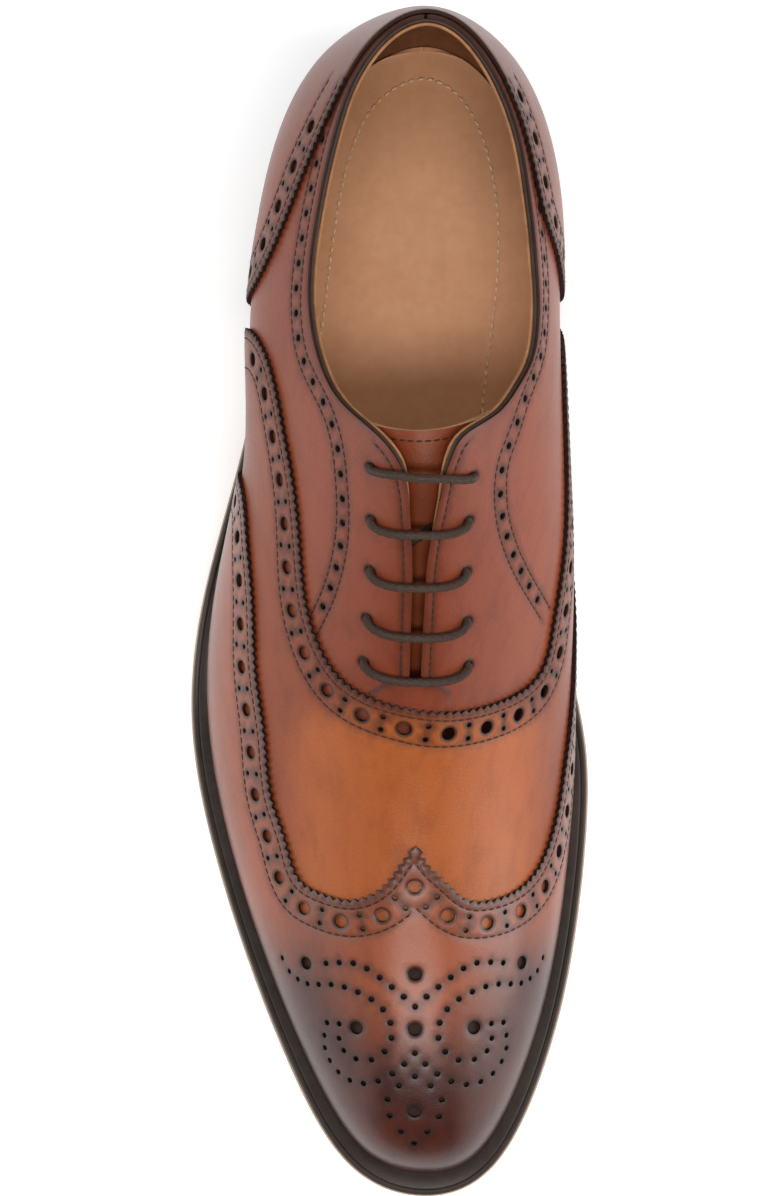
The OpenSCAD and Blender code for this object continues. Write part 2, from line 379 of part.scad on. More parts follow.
// ---------------------------------------------------------------- tongue
TONGUE_ROWS = [[5.02, .90], [5.3, .875], [5.6, .85], [5.9, .83], [6.2, .815], [6.5, .80], [6.75, .79], [6.95, .785], [7.1, .79], [7.2, .81]];
module tongue_sheet(low, high, less = 0) {
    n = len(TONGUE_ROWS) - 1;
    // columns run from the medial edge across the crown to the lateral edge
    across = [-1, -.72, -.44, -.16, .16, .44, .72, 1];
    pts_of = function (h) [for (a = across) for (r = TONGUE_ROWS) let (f = .955 - (.955 - r[1] - less) * (abs(a) - .16) / .84)
        layer(a > 0 ? r[0] : -r[0], f, h)];
    m = n + 1; c = len(across); tot = m * c;
    function id(i, j) = i * m + j;
    top = [for (i = [0:c - 2]) for (j = [0:n - 1]) each [[id(i, j), id(i + 1, j), id(i + 1, j + 1)], [id(i, j), id(i + 1, j + 1), id(i, j + 1)]]];
    loop = concat([for (i = [0:c - 1]) id(i, 0)], [for (j = [1:n]) id(c - 1, j)], [for (i = [c - 2:-1:0]) id(i, n)], [for (j = [n - 1:-1:1]) id(0, j)]);
    nl = len(loop);
    polyhedron(points = concat(pts_of(high), pts_of(low)), faces = concat(top, [for (f = top) [tot + f[2], tot + f[1], tot + f[0]]],
        [for (k = [0:nl - 1]) let (u = loop[k], v = loop[(k + 1) % nl]) each [[v, u, tot + u], [v, tot + u, tot + v]]]), convexity = 4);
}
module tongue() color([.45, .24, .14]) tongue_sheet(-tongue_depth - tongue_thickness, -tongue_depth);
module tongue_lining() color([.72, .50, .32]) tongue_sheet(-tongue_depth - tongue_thickness - g - .1 - lining,
    -tongue_depth - tongue_thickness - g - .1, .01);

// ---------------------------------------------------------------- lace
in_h = -lace_depth;            // hidden runs
out_h = r_lace + .5;           // bars on top of the facings
function hole(side, k, h) = layer(side * EYELETS[k], eyelet_share(side * EYELETS[k]), h);
// Places between the two holes of a row: share of the way over the lateral and then the medial facing
function over(k, h, sag) = [for (f = [0, .3, .6, .85, 1]) let (e = eyelet_share(EYELETS[k])) layer(EYELETS[k], mix(e, .945, f), h) - [0, sag * f, 0],
    for (f = [1, .85, .6, .3, 0]) let (e = eyelet_share(-EYELETS[k])) layer(-EYELETS[k], mix(e, .945, f), h) - [0, sag * f, 0]];
// One bar: up through the lateral hole, across the gap with a slight sag towards the toe, down the medial hole
function bar_path(k) = concat([hole(1, k, in_h), hole(1, k, -2.5), hole(1, k, -.2)], over(k, out_h, 1.6),
    [hole(-1, k, -.2), hole(-1, k, -2.5), hole(-1, k, in_h)]);
// Hidden run between two rows of one side
function run_path(side, k, l, shift) = [for (j = [0:6]) let (v = j / 6, q = side * mix(EYELETS[k], EYELETS[l], v), s = 4 * v * (1 - v))
    layer(q, eyelet_share(q) - shift * s, in_h)];
// Run that crosses under the gap from a lateral to a medial hole
function cross_path(k, l) = let (a = over(k, in_h, 0), b = over(l, in_h, 0)) [for (j = [0:9]) mix(a[j], b[j], j / 9)];
// Tucked end below a facing
function end_path(side, k, back) = [for (j = [0:5]) let (v = j / 5, q = side * (EYELETS[k] + back * v)) layer(q, eyelet_share(q) - .13 * v, in_h - .2 * v)];

module lace() color([.17, .12, .09]) union() {
    for (k = [0:4]) cord(bar_path(k), r_lace);
    cord(run_path(1, 0, 1, .06), r_lace);
    cord(run_path(-1, 0, 2, .08), r_lace);
    cord(cross_path(2, 3), r_lace);
    cord(run_path(1, 3, 4, .06), r_lace);
    cord(end_path(-1, 1, -.3), r_lace);
    cord(end_path(-1, 4, -.3), r_lace);
}
module aglets() color([.12, .10, .10]) for (k = [1, 4]) {
    e = end_path(-1, k, -.3); a = e[5]; d = unit(e[5] - e[4]);
    translate(a + d * .3) rotate([0, acos(d[2]), atan2(d[1], d[0])]) cylinder(r = 1.2, h = 9, $fn = 24);
}

// ---------------------------------------------------------------- assembly
outsole();
welt();
cork_filler();
shank();
insole_board();
sock_cushion();
sock_lining();
heel_lift_1();
heel_lift_2();
heel_lift_3();
top_piece_leather();
top_piece_rubber();
heel_nails();
top_piece_pins();
wing_cap();
vamp();
quarter_lateral();
quarter_medial();
counter_cover();
throat_tab();
toe_puff();
heel_stiffener();
vamp_lining();
quarter_lining_lateral();
quarter_lining_medial();
heel_lining();
facing_stay_lateral();
facing_stay_medial();
topline_beading();
tongue();
tongue_lining();
lace();
aglets();
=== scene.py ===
"""Full brogue oxford shoe in burnished calf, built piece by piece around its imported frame.

Lengths are in millimetres until a piece is made, when they become metres. +Y points to the heel,
+X to the inner side of the foot and +Z up. The shoe's form is a closed ring of stations round the
sole: ring position q is 0 at the toe, positive along the outer side, negative along the inner side
and 11 at the heel. The share t runs up each section, from 0 at the sole to 1 on the crown line.
"""
import logging
import math
from dataclasses import dataclass, field
from enum import Enum

import bmesh
import bpy
import numpy as np
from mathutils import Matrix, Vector
from mathutils.bvhtree import BVHTree
from mathutils.geometry import delaunay_2d_cdt
from mathutils.kdtree import KDTree


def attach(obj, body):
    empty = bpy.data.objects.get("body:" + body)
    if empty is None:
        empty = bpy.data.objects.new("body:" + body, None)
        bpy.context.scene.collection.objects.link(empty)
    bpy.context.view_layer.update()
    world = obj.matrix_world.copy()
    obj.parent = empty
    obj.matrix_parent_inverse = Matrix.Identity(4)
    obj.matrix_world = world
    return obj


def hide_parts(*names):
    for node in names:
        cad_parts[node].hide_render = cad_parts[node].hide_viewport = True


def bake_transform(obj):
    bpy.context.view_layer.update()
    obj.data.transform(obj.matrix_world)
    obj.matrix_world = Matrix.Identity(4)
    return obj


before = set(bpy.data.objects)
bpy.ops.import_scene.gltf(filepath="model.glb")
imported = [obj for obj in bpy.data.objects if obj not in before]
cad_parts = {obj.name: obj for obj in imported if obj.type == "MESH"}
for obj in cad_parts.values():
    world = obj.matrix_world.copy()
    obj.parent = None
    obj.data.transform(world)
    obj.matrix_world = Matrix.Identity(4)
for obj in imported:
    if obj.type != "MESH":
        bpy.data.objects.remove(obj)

log = logging.getLogger("oxford")
MM = 0.001
RING = 22           # stations round the shoe
HEEL_AT = 11        # ring position of the heel
CROWN_X = 6.5       # the crown line over the forepart
SHOE, TONGUE = "shoe", "tongue"
Colour = tuple[float, float, float]
Pair = tuple[float, float]


# ------------------------------------------------------------------ curves and maths
def smooth(value: np.ndarray | float) -> np.ndarray | float:
    """Smooth step from 0 to 1."""
    c = np.clip(value, 0.0, 1.0)
    return c * c * (3 - 2 * c)


def unit(vectors: np.ndarray) -> np.ndarray:
    """Rows scaled to length one."""
    return vectors / (np.linalg.norm(vectors, axis=-1, keepdims=True) + 1e-12)


def bell(distance: np.ndarray, width: float) -> np.ndarray:
    """Gaussian bump of a distance, 1 at zero."""
    return np.exp(-((distance / width) ** 2))


def signed(q: np.ndarray) -> np.ndarray:
    """Ring positions as numbers that are negative along the inner side."""
    q = np.mod(q, RING)
    return np.where(q > HEEL_AT, q - RING, q)


def running(points: np.ndarray) -> np.ndarray:
    """Running length at each point of a path."""
    return np.concatenate([[0], np.cumsum(np.linalg.norm(np.diff(points, axis=0), axis=1))])


class Spline:
    """Curve with continuous curvature through points at given parameters."""

    def __init__(self, knots: np.ndarray, values: np.ndarray, slope: float | None = None) -> None:
        """Solves for the second derivatives.

        Args:
            knots: rising parameters.
            values: one row per knot.
            slope: first derivative at the first knot, or None for a natural end.
        """
        self.x = np.asarray(knots, float)
        self.v = np.asarray(values, float).reshape(len(self.x), -1)
        n, h = len(self.x), np.diff(self.x)
        a, b = np.eye(n), np.zeros_like(self.v)
        rise = np.diff(self.v, axis=0) / h[:, None]
        for i in range(1, n - 1):
            a[i, i - 1:i + 2] = h[i - 1], 2 * (h[i - 1] + h[i]), h[i]
            b[i] = 6 * (rise[i] - rise[i - 1])
        if slope is not None:
            a[0, :2] = 2 * h[0], h[0]
            b[0] = 6 * (rise[0] - slope)
        self.m = np.linalg.solve(a, b)

    def __call__(self, at: np.ndarray | float) -> np.ndarray:
        """Values at the parameters, one row each."""
        at = np.atleast_1d(np.asarray(at, float))
        k = np.clip(np.searchsorted(self.x, at) - 1, 0, len(self.x) - 2)
        h = (self.x[k + 1] - self.x[k])[:, None]
        u = (at[:, None] - self.x[k][:, None]) / h
        w = 1 - u
        bend = ((w ** 3 - w) * self.m[k] + (u ** 3 - u) * self.m[k + 1]) * h * h / 6
        return w * self.v[k] + u * self.v[k + 1] + bend


class RingTable:
    """Station values round the closed ring, as a smooth or a monotone curve."""

    def __init__(self, values: list, monotone: bool = False) -> None:
        """Keeps the values and works out the derivatives.

        Args:
            values: one value or point for each of the 22 stations.
            monotone: never overshoots a level stretch.
        """
        self.v = np.asarray(values, float).reshape(RING, -1)
        self.monotone = monotone
        back, ahead = self.v - np.roll(self.v, 1, 0), np.roll(self.v, -1, 0) - self.v
        if monotone:
            same = back * ahead > 0
            total = np.where(same, back + ahead, 1.0)
            self.m = np.where(same, 2 * back * ahead / total, 0.0)
        else:
            a = 4 * np.eye(RING) + np.roll(np.eye(RING), 1, 0) + np.roll(np.eye(RING), -1, 0)
            self.m = np.linalg.solve(a, 6 * (ahead - back))

    def __call__(self, q: np.ndarray) -> np.ndarray:
        """Values at ring positions, one row each."""
        q = np.mod(q, RING)
        k = np.minimum(q.astype(int), RING - 1)
        u = (q - k)[:, None]
        n = (k + 1) % RING
        a, b, w = self.v[k], self.v[n], 1 - u
        if self.monotone:
            rise = b - a
            return a + u * u * (3 - 2 * u) * rise + u * w * (w * self.m[k] - u * self.m[n])
        return w * a + u * b + ((w ** 3 - w) * self.m[k] + (u ** 3 - u) * self.m[n]) / 6


def around(outer: list, inner: list | None = None) -> list:
    """Full ring from half-ring lists, toe to heel, of the outer and the inner side."""
    inner = outer if inner is None else inner
    return list(outer) + list(inner[10:0:-1])


# ------------------------------------------------------------------ form of the shoe
@dataclass
class Form:
    """The last of the shoe: its sections, its surface and the flat chart that panels are cut on."""

    outline: list = field(default_factory=lambda: [
        (8.5, -155), (-11, -146.5), (-26, -122), (-39, -89.5), (-49, -56), (-53.3, -25), (-49.5, 6),
        (-40.5, 38), (-33, 72), (-28.5, 106), (-17, 140), (9, 155), (33, 140), (43, 106), (41, 72),
        (38, 38), (43.5, 4), (51, -26), (53, -52), (49.5, -86), (42, -118), (28, -146.5)])
    toe_spring: float = 12.0
    heel_height: float = 24.0
    feather: float = 8.6          # foot of the upper above the sole's underside
    crown_slope: float = 0.14     # rise of the crown line where it leaves the toe
    ridge_round: float = 5.0      # radius that softens the ridge of the instep
    chart_steps: int = 30         # columns of the chart from station to station
    chart_rows: int = 91

    def __post_init__(self) -> None:
        """Builds the station curves and the chart."""
        self._edge = RingTable(self.outline)
        self._inset = RingTable(around([9.5, 8.5, 8, 7.6, 7.6, 7.4, 6, 4.5, 3.5, 3.5, 3.5, 4],
                                       [9.5, 8.5, 8, 7.6, 7.2, 5.5, 4, 3, 3, 3.5, 3.5, 4]))
        self._ax = RingTable(around([6.5, 6.5, 6.5, 6.5, 6.5, 6.5, 7.5, 8.5, 7, 6, 8, 9]), True)
        self._ay = RingTable(around([-100, -100, -100, -90, -58, -27, 3, 36, 72, 104, 114, 116]), True)
        self._swell = RingTable(around([1.5, 1.5, 2, 2.5, 3, 3.5, 4, 8, 24, 23, 16, 8],
                                       [1.5, 1.5, 2, 2.5, 3, 7.5, 24, 29, 16, 12, 10, 8]))
        self._swell_h = RingTable(around([13, 13, 13, 14, 16, 20, 25, 28, 28, 26, 25, 24],
                                         [13, 13, 13, 14, 17, 23, 30, 33, 31, 28, 25, 24]))
        self._shoulder = RingTable(around([.74, .72, .66, .60, .50, .42, .38, .42, .42, .46, .62, .84],
                                          [.74, .72, .66, .60, .50, .44, .46, .62, .86, .78, .76, .84]))
        self._ridge = RingTable(around([0, 0, 0, 0, .2, 1.6, 5, 9, 20, 20, 20, 20]), True)
        self._reach = RingTable(around([0, 0, 0, 0, 0, 0, 0, 3, 12, 13, 18, 25],
                                       [0, 0, 0, 0, 0, 0, 0, 6, 18, 15, 19, 25]), True)
        self._raise = RingTable(around([0] * 12, [0] * 8 + [3, 3, 1, 0]), True)
        self._crown = Spline([-100, -90, -58, -27, 3, 36, 72, 104, 116, 130],
                             [43.5, 45.4, 54, 68, 88, 106, 112, 110, 110, 110], self.crown_slope)
        self._chart()

    def under(self, y: np.ndarray) -> np.ndarray:
        """Height of the outsole's underside at y: toe spring, tread and rise to the heel."""
        toe = self.toe_spring * np.maximum(0, (-55 - y) / 100) ** 1.8
        return toe + self.heel_height * smooth((y + 32) / 107)

    def edge(self, q: np.ndarray, inset: np.ndarray | float) -> np.ndarray:
        """Plan points at a distance inside the sole's outline."""
        d = unit(self._edge(q + .02) - self._edge(q - .02))
        return self._edge(q) + np.column_stack([d[:, 1], -d[:, 0]]) * np.reshape(inset, (-1, 1))

    def foot_inset(self, q: np.ndarray) -> np.ndarray:
        """Distance from the outsole's edge in to the upper."""
        return self._inset(q)[:, 0]

    def lean(self, q: np.ndarray) -> tuple[np.ndarray, ...]:
        """Foot of each section, its point on the crown line, its direction and its run."""
        foot = self.edge(q, self.foot_inset(q))
        crown = np.column_stack([self._ax(q), self._ay(q)])
        run = np.linalg.norm(foot - crown, axis=1)
        return foot, crown, (foot - crown) / run[:, None], run

    def point(self, q: np.ndarray, t: np.ndarray) -> np.ndarray:
        """Points of the form.

        Args:
            q: ring positions.
            t: shares of the section.

        Returns:
            One row of x, y, z for each.
        """
        q, t = np.asarray(q, float), np.asarray(t, float)
        foot, crown, d, run = self.lean(q)
        side = np.abs(signed(q))
        z0 = self.under(foot[:, 1]) + self.feather
        z3 = self._crown(crown[:, 1])[:, 0] + self._raise(q)[:, 0]
        arm = run * self._shoulder(q)[:, 0]
        ridge = self._ridge(q)[:, 0]
        toe = -self.crown_slope * d[:, 1] * arm * smooth(4.5 - side)
        b = [np.column_stack([foot, z0]),
             np.column_stack([foot + d * self._swell(q), z0 + self._swell_h(q)[:, 0]]),
             np.column_stack([crown + d * arm[:, None], z3 - ridge - toe]),
             np.column_stack([crown + d * self._reach(q), z3])]
        u, v = (1 - t)[:, None], t[:, None]
        p = u ** 3 * b[0] + 3 * u * u * v * b[1] + 3 * u * v * v * b[2] + v ** 3 * b[3]
        s = np.linalg.norm(p[:, :2] - crown, axis=1)
        soft = np.sqrt(s * s + self.ridge_round ** 2) - s
        p[:, 2] -= ridge / arm * soft * smooth(7.8 - side)
        return p

    def normal(self, q: np.ndarray, t: np.ndarray) -> np.ndarray:
        """Outward unit normals at ring positions and shares."""
        q, t = np.asarray(q, float), np.asarray(t, float)
        c = np.clip(t, .01, .985)
        along = self.point(q - .02, c) - self.point(q + .02, c)
        n = unit(np.cross(along, self.point(q, c + .01) - self.point(q, c - .01)))
        side = np.abs(signed(q))
        apex = unit(np.array([0, -self.crown_slope, 1.0]))
        near = (smooth((t - .93) / .05) * smooth((2.7 - side) / .5))[:, None]
        return unit(n * (1 - near) + apex * near)

    def layer(self, q: np.ndarray, t: np.ndarray, height: np.ndarray | float) -> np.ndarray:
        """Points at a height above the form, along its normal."""
        q = np.atleast_1d(np.asarray(q, float))
        t = np.broadcast_to(np.asarray(t, float), q.shape)
        return self.point(q, t) + self.normal(q, t) * np.reshape(height, (-1, 1))

    # -------------------------------------------------------------- flat chart
    def _chart(self) -> None:
        """Lays the form out flat: each section is unrolled away from its point on the crown line."""
        self._cq = np.linspace(0, RING, RING * self.chart_steps + 1)
        self._ct = np.linspace(0, 1, self.chart_rows)
        nq, nt = len(self._cq), len(self._ct)
        pts = self.point(np.repeat(self._cq, nt), np.tile(self._ct, nq)).reshape(nq, nt, 3)
        step = np.linalg.norm(np.diff(pts, axis=1), axis=2)
        down = np.cumsum(step[:, ::-1], axis=1)[:, ::-1]
        self._fall = np.column_stack([down, np.zeros(nq)]) + self._reach(self._cq)
        _, crown, d, _ = self.lean(self._cq)
        flat = crown[:, None] + d[:, None] * self._fall[..., None]
        verts = np.dstack([flat, np.zeros((nq, nt))]).reshape(-1, 3)
        i = (np.arange(nq - 1)[:, None] * nt + np.arange(nt - 1)).ravel()
        halves = [np.column_stack([i, i + 1, i + nt + 1]), np.column_stack([i, i + nt + 1, i + nt])]
        self._tris, self._flat = np.vstack(halves), verts[:, :2]
        self._tree = BVHTree.FromPolygons(verts.tolist(), self._tris.tolist())

    def to_chart(self, q: np.ndarray, t: np.ndarray) -> np.ndarray:
        """Chart points of ring positions and shares."""
        q, t = np.atleast_1d(np.asarray(q, float)), np.atleast_1d(np.asarray(t, float))
        a, b = np.mod(q, RING) * self.chart_steps, t * (self.chart_rows - 1)
        i = np.minimum(a.astype(int), len(self._cq) - 2)
        j = np.minimum(b.astype(int), len(self._ct) - 2)
        u, v = a - i, b - j
        f = self._fall
        fall = (1 - u) * ((1 - v) * f[i, j] + v * f[i, j + 1])
        fall = fall + u * ((1 - v) * f[i + 1, j] + v * f[i + 1, j + 1])
        _, crown, d, _ = self.lean(q)
        return crown + d * fall[:, None]

    def from_chart(self, xy: np.ndarray) -> tuple[np.ndarray, np.ndarray]:
        """Ring positions and shares of chart points.

        Args:
            xy: chart points, one a row.

        Returns:
            Ring positions and shares of the section.
        """
        q, t = np.empty(len(xy)), np.empty(len(xy))
        nt, down = len(self._ct), Vector((0, 0, -1))
        for k, (x, y) in enumerate(xy.tolist()):
            hit, _, face, _ = self._tree.ray_cast(Vector((x, y, 1)), down)
            if face is None:
                hit, _, face, _ = self._tree.find_nearest(Vector((x, y, 0)))
            tri = self._tris[face]
            a, b, c = self._flat[tri]
            ab, ac, ap = b - a, c - a, np.array([hit[0], hit[1]]) - a
            area = ab[0] * ac[1] - ab[1] * ac[0]
            if abs(area) < 1e-9:
                wb = wc = 0.0
            else:
                wb = (ap[0] * ac[1] - ap[1] * ac[0]) / area
                wc = (ab[0] * ap[1] - ab[1] * ap[0]) / area
            w = np.array([1 - wb - wc, wb, wc])
            q[k] = w @ self._cq[tri // nt]
            t[k] = w @ self._ct[tri % nt]
        return q, np.clip(t, 0, 1)

    def on(self, xy: np.ndarray, height: np.ndarray | float = 0.0) -> np.ndarray:
        """Points of the shoe at a height above chart points."""
        q, t = self.from_chart(xy)
        return self.layer(q, t, height)

    def stretch(self, xy: np.ndarray) -> np.ndarray:
        """How chart steps become steps on the shoe: a 3 by 2 matrix for each chart point."""
        e = .8
        dx, dy = np.array([e, 0]), np.array([0, e])
        grid = np.vstack([xy + dx, xy - dx, xy + dy, xy - dy])
        q, t = self.from_chart(grid)
        a, b, c, d = np.split(self.point(q, t), 4)
        return np.stack([(a - b) / (2 * e), (c - d) / (2 * e)], axis=2)


class Seam:
    """A line on the shoe, kept as chart points with its true running length."""

    def __init__(self, form: Form, xy: np.ndarray) -> None:
        """Measures the line.

        Args:
            form: the last it lies on.
            xy: chart points along it.
        """
        self.form, self.xy = form, np.asarray(xy, float)
        self.s = running(form.on(self.xy))

    @classmethod
    def through(cls, form: Form, points: list[Pair], step: float = .8) -> "Seam":
        """Smooth line through ring positions and shares.

        Args:
            form: the last it lies on.
            points: (q, t) pairs from end to end.
            step: rough distance between the points kept.

        Returns:
            The line.
        """
        q, t = np.array(points, float).T
        xy = form.to_chart(q, t)
        knots = running(xy)
        n = max(3, int(knots[-1] / step))
        return cls(form, Spline(knots, xy)(np.linspace(0, knots[-1], n)))

    @property
    def length(self) -> float:
        """True length of the line."""
        return float(self.s[-1])

    def at(self, s: np.ndarray | float) -> np.ndarray:
        """Chart points at running lengths."""
        s = np.atleast_1d(s)
        return np.column_stack([np.interp(s, self.s, self.xy[:, 0]), np.interp(s, self.s, self.xy[:, 1])])

    def evenly(self, pitch: float, start: float = 0.0, end: float | None = None) -> np.ndarray:
        """Running lengths spaced by the pitch."""
        return np.arange(start, (self.length if end is None else end) + 1e-6, pitch)

    def side(self, xy: np.ndarray, ahead: np.ndarray) -> np.ndarray:
        """Chart steps of one millimetre on the shoe, to the left of travel."""
        j = self.form.stretch(xy)
        along = unit(np.einsum("nij,nj->ni", j, ahead))
        n = unit(np.cross(j[:, :, 0], j[:, :, 1]))
        left = np.cross(n, along)
        return np.einsum("nij,nj->ni", np.linalg.pinv(j), left)

    def moved(self, distance: np.ndarray | float, s: np.ndarray | None = None) -> np.ndarray:
        """Chart points at a distance to the left of the line.

        Args:
            distance: one for all or one for each place.
            s: running lengths, or None for the line's own points.

        Returns:
            Chart points.
        """
        s = self.s if s is None else s
        xy, e = self.at(s), .7
        ahead = self.at(np.minimum(s + e, self.length)) - self.at(np.maximum(s - e, 0))
        return xy + self.side(xy, ahead) * np.reshape(distance, (-1, 1))

    def beside(self, distance: float) -> "Seam":
        """Line that runs beside this one, to the left for a positive distance."""
        return Seam(self.form, self.moved(distance))

    def pinked(self, pitch: float, depth: float) -> np.ndarray:
        """Chart points of the line cut with a zigzag."""
        n = max(1, round(self.length / pitch))
        s = np.linspace(0, self.length, 2 * n + 1)
        return self.moved(np.where(np.arange(len(s)) % 2, -depth / 2, depth / 2), s)


# ------------------------------------------------------------------ finishes
class Wire:
    """One value in a node tree, with the arithmetic that shaders need."""

    def __init__(self, net: "Net", socket: bpy.types.NodeSocket) -> None:
        """Wraps an output socket."""
        self.net, self.socket = net, socket

    def _math(self, operation: str, *values: "Wire | float") -> "Wire":
        """Adds one Math node."""
        return self.net.add("ShaderNodeMath", {"operation": operation}, dict(enumerate(values)))

    def __add__(self, other: "Wire | float") -> "Wire":
        """Sum."""
        return self._math("ADD", self, other)

    def __sub__(self, other: "Wire | float") -> "Wire":
        """Difference."""
        return self._math("SUBTRACT", self, other)

    def __rsub__(self, other: float) -> "Wire":
        """Difference from a number."""
        return self._math("SUBTRACT", other, self)

    def __mul__(self, other: "Wire | float") -> "Wire":
        """Product."""
        return self._math("MULTIPLY", self, other)

    __radd__, __rmul__ = __add__, __mul__

    def ramp(self, low: float, high: float) -> "Wire":
        """Smooth step between two values."""
        settings = {"interpolation_type": "SMOOTHSTEP"}
        return self.net.add("ShaderNodeMapRange", settings, {0: self, 1: low, 2: high})

    def clamp(self) -> "Wire":
        """Value held between 0 and 1."""
        return self.net.add("ShaderNodeClamp", {}, {0: self})


class Net:
    """Node tree of one material or of the world."""

    def __init__(self, name: str, sky: bool = False) -> None:
        """Starts an empty tree.

        Args:
            name: of the material or the world.
            sky: it colours the world instead of a piece.
        """
        self.material = (bpy.data.worlds if sky else bpy.data.materials).new(name)
        self.material.use_nodes = True
        self.tree = self.material.node_tree
        self.tree.nodes.clear()

    def add(self, kind: str, settings: dict | None = None, inputs: dict | None = None,
            out: int | str = 0) -> Wire:
        """Adds one node of any type.

        Args:
            kind: Blender's node type.
            settings: properties that are set first.
            inputs: socket names or numbers with a value or a wire for each.
            out: output socket to hand back.

        Returns:
            The chosen output.
        """
        node = self.tree.nodes.new(kind)
        for key, value in (settings or {}).items():
            setattr(node, key, value)
        for key, value in (inputs or {}).items():
            if isinstance(value, Wire):
                self.tree.links.new(value.socket, node.inputs[key])
            else:
                node.inputs[key].default_value = value
        return Wire(self, node.outputs[out])

    def mix(self, factor: Wire | float, a: Wire | Colour, b: Wire | Colour, blend: str = "MIX") -> Wire:
        """Colour between a and b."""
        a, b = (c if isinstance(c, Wire) else (*c, 1) for c in (a, b))
        settings = {"data_type": "RGBA", "blend_type": blend}
        return self.add("ShaderNodeMix", settings, {0: factor, 6: a, 7: b}, 2)

    def place(self, scale: tuple[float, float, float] = (1, 1, 1)) -> Wire:
        """Object coordinates, stretched along the axes."""
        where = self.add("ShaderNodeTexCoord", {}, {}, "Object")
        return self.add("ShaderNodeMapping", {}, {"Vector": where, "Scale": scale})

    def noise(self, where: Wire, scale: float, detail: float = 3, rough: float = .55) -> Wire:
        """Noise between 0 and 1, with a scale in cells per metre."""
        values = {"Vector": where, "Scale": scale, "Detail": detail, "Roughness": rough}
        return self.add("ShaderNodeTexNoise", {}, values)

    def attribute(self, name: str) -> Wire:
        """A number painted on the piece."""
        return self.add("ShaderNodeAttribute", {"attribute_name": name}, {}, "Fac")

    def bump(self, height: Wire, distance: float, strength: float = 1.0) -> Wire:
        """Normal bent by a height in shares of a distance in metres."""
        values = {"Height": height, "Distance": distance, "Strength": strength}
        return self.add("ShaderNodeBump", {}, values)

    def finish(self, **values: object) -> bpy.types.Material:
        """Ends the tree in one principled shader; _ in a keyword stands for a space."""
        sockets = {key.replace("_", " "): value for key, value in values.items()}
        shader = self.add("ShaderNodeBsdfPrincipled", {}, sockets)
        self.add_output(shader)
        return self.material

    def add_output(self, shader: Wire, kind: str = "ShaderNodeOutputMaterial") -> None:
        """Links the shader to an output node of the given kind."""
        node = self.tree.nodes.new(kind)
        self.tree.links.new(shader.socket, node.inputs["Surface"])


@dataclass(frozen=True)
class Calf:
    """Burnished calf leather: three tones, a fine grain and a polished top."""

    name: str
    slot: str
    base: Colour
    amber: Colour
    dark: Colour
    edge: Colour = (.020, .008, .005)
    gloss: float = .36
    coat: float = .12
    grain: float = .10

    def material(self) -> bpy.types.Material:
        """The leather's material; it reads the amber, burnish and seam values painted on a panel."""
        net = Net(self.name)
        where = net.place()
        cloud = net.noise(where, 38, 4)
        streak = net.noise(net.place((1, .35, 1)), 210, 4, .6)
        speck = net.noise(where, 1300, 2)
        # the amber value also carries the wing cap's painted highlight glow
        amber = (net.attribute("amber") + (cloud - .5) * .55).clamp()
        burnish = (net.attribute("burnish") + (cloud - .5) * .42 + (streak - .5) * .22).clamp()
        colour = net.mix(amber, self.base, self.amber)
        colour = net.mix(burnish, colour, self.dark)
        colour = net.mix((streak.ramp(.42, .72) * .22 + speck.ramp(.5, .8) * .16), colour, (.42, .34, .30),
                         "MULTIPLY")
        # seam value: stained cut edges plus painted shade round the punched holes
        colour = net.mix(net.attribute("seam").clamp(), colour, self.edge)
        pores = net.add("ShaderNodeTexVoronoi", {"feature": "DISTANCE_TO_EDGE"},
                        {"Vector": where, "Scale": 950})
        crease = net.noise(net.place((1, 1.6, 1)), 520, 3, .6)
        rough = self.gloss + (cloud - .5) * .10 + (speck - .5) * .10 + net.attribute("seam") * .12
        skin = pores.ramp(0, .16) * .5 + crease * .8 + speck * .2
        return net.finish(Base_Color=colour, Roughness=rough, Coat_Weight=self.coat, Coat_Roughness=.30,
                          Specular_IOR_Level=.20, Normal=net.bump(skin, .00011, self.grain * 4))


@dataclass(frozen=True)
class PlainLeather:
    """Undyed, brushed or edge-stained leather without a polished top."""

    name: str
    slot: str
    light: Colour
    dark: Colour
    roughness: float = .62
    fibre: float = .5
    stretch: tuple[float, float, float] = (1, 1, 1)
    scale: float = 260.0

    def material(self) -> bpy.types.Material:
        """Mottled leather with loose fibres."""
        net = Net(self.name)
        where = net.place(self.stretch)
        cloud, fibre = net.noise(net.place(), 45, 4), net.noise(where, self.scale, 5, .65)
        speck = net.noise(net.place(), 1800, 2)
        tone = (cloud.ramp(.3, .7) * .45 + fibre.ramp(.3, .7) * .45 + speck * .25 - .05).clamp()
        colour = net.mix(tone, self.dark, self.light)
        height = fibre * .7 + speck * .5
        return net.finish(Base_Color=colour, Roughness=self.roughness + (fibre - .5) * .15,
                          Specular_IOR_Level=.25, Normal=net.bump(height, .0002, self.fibre))


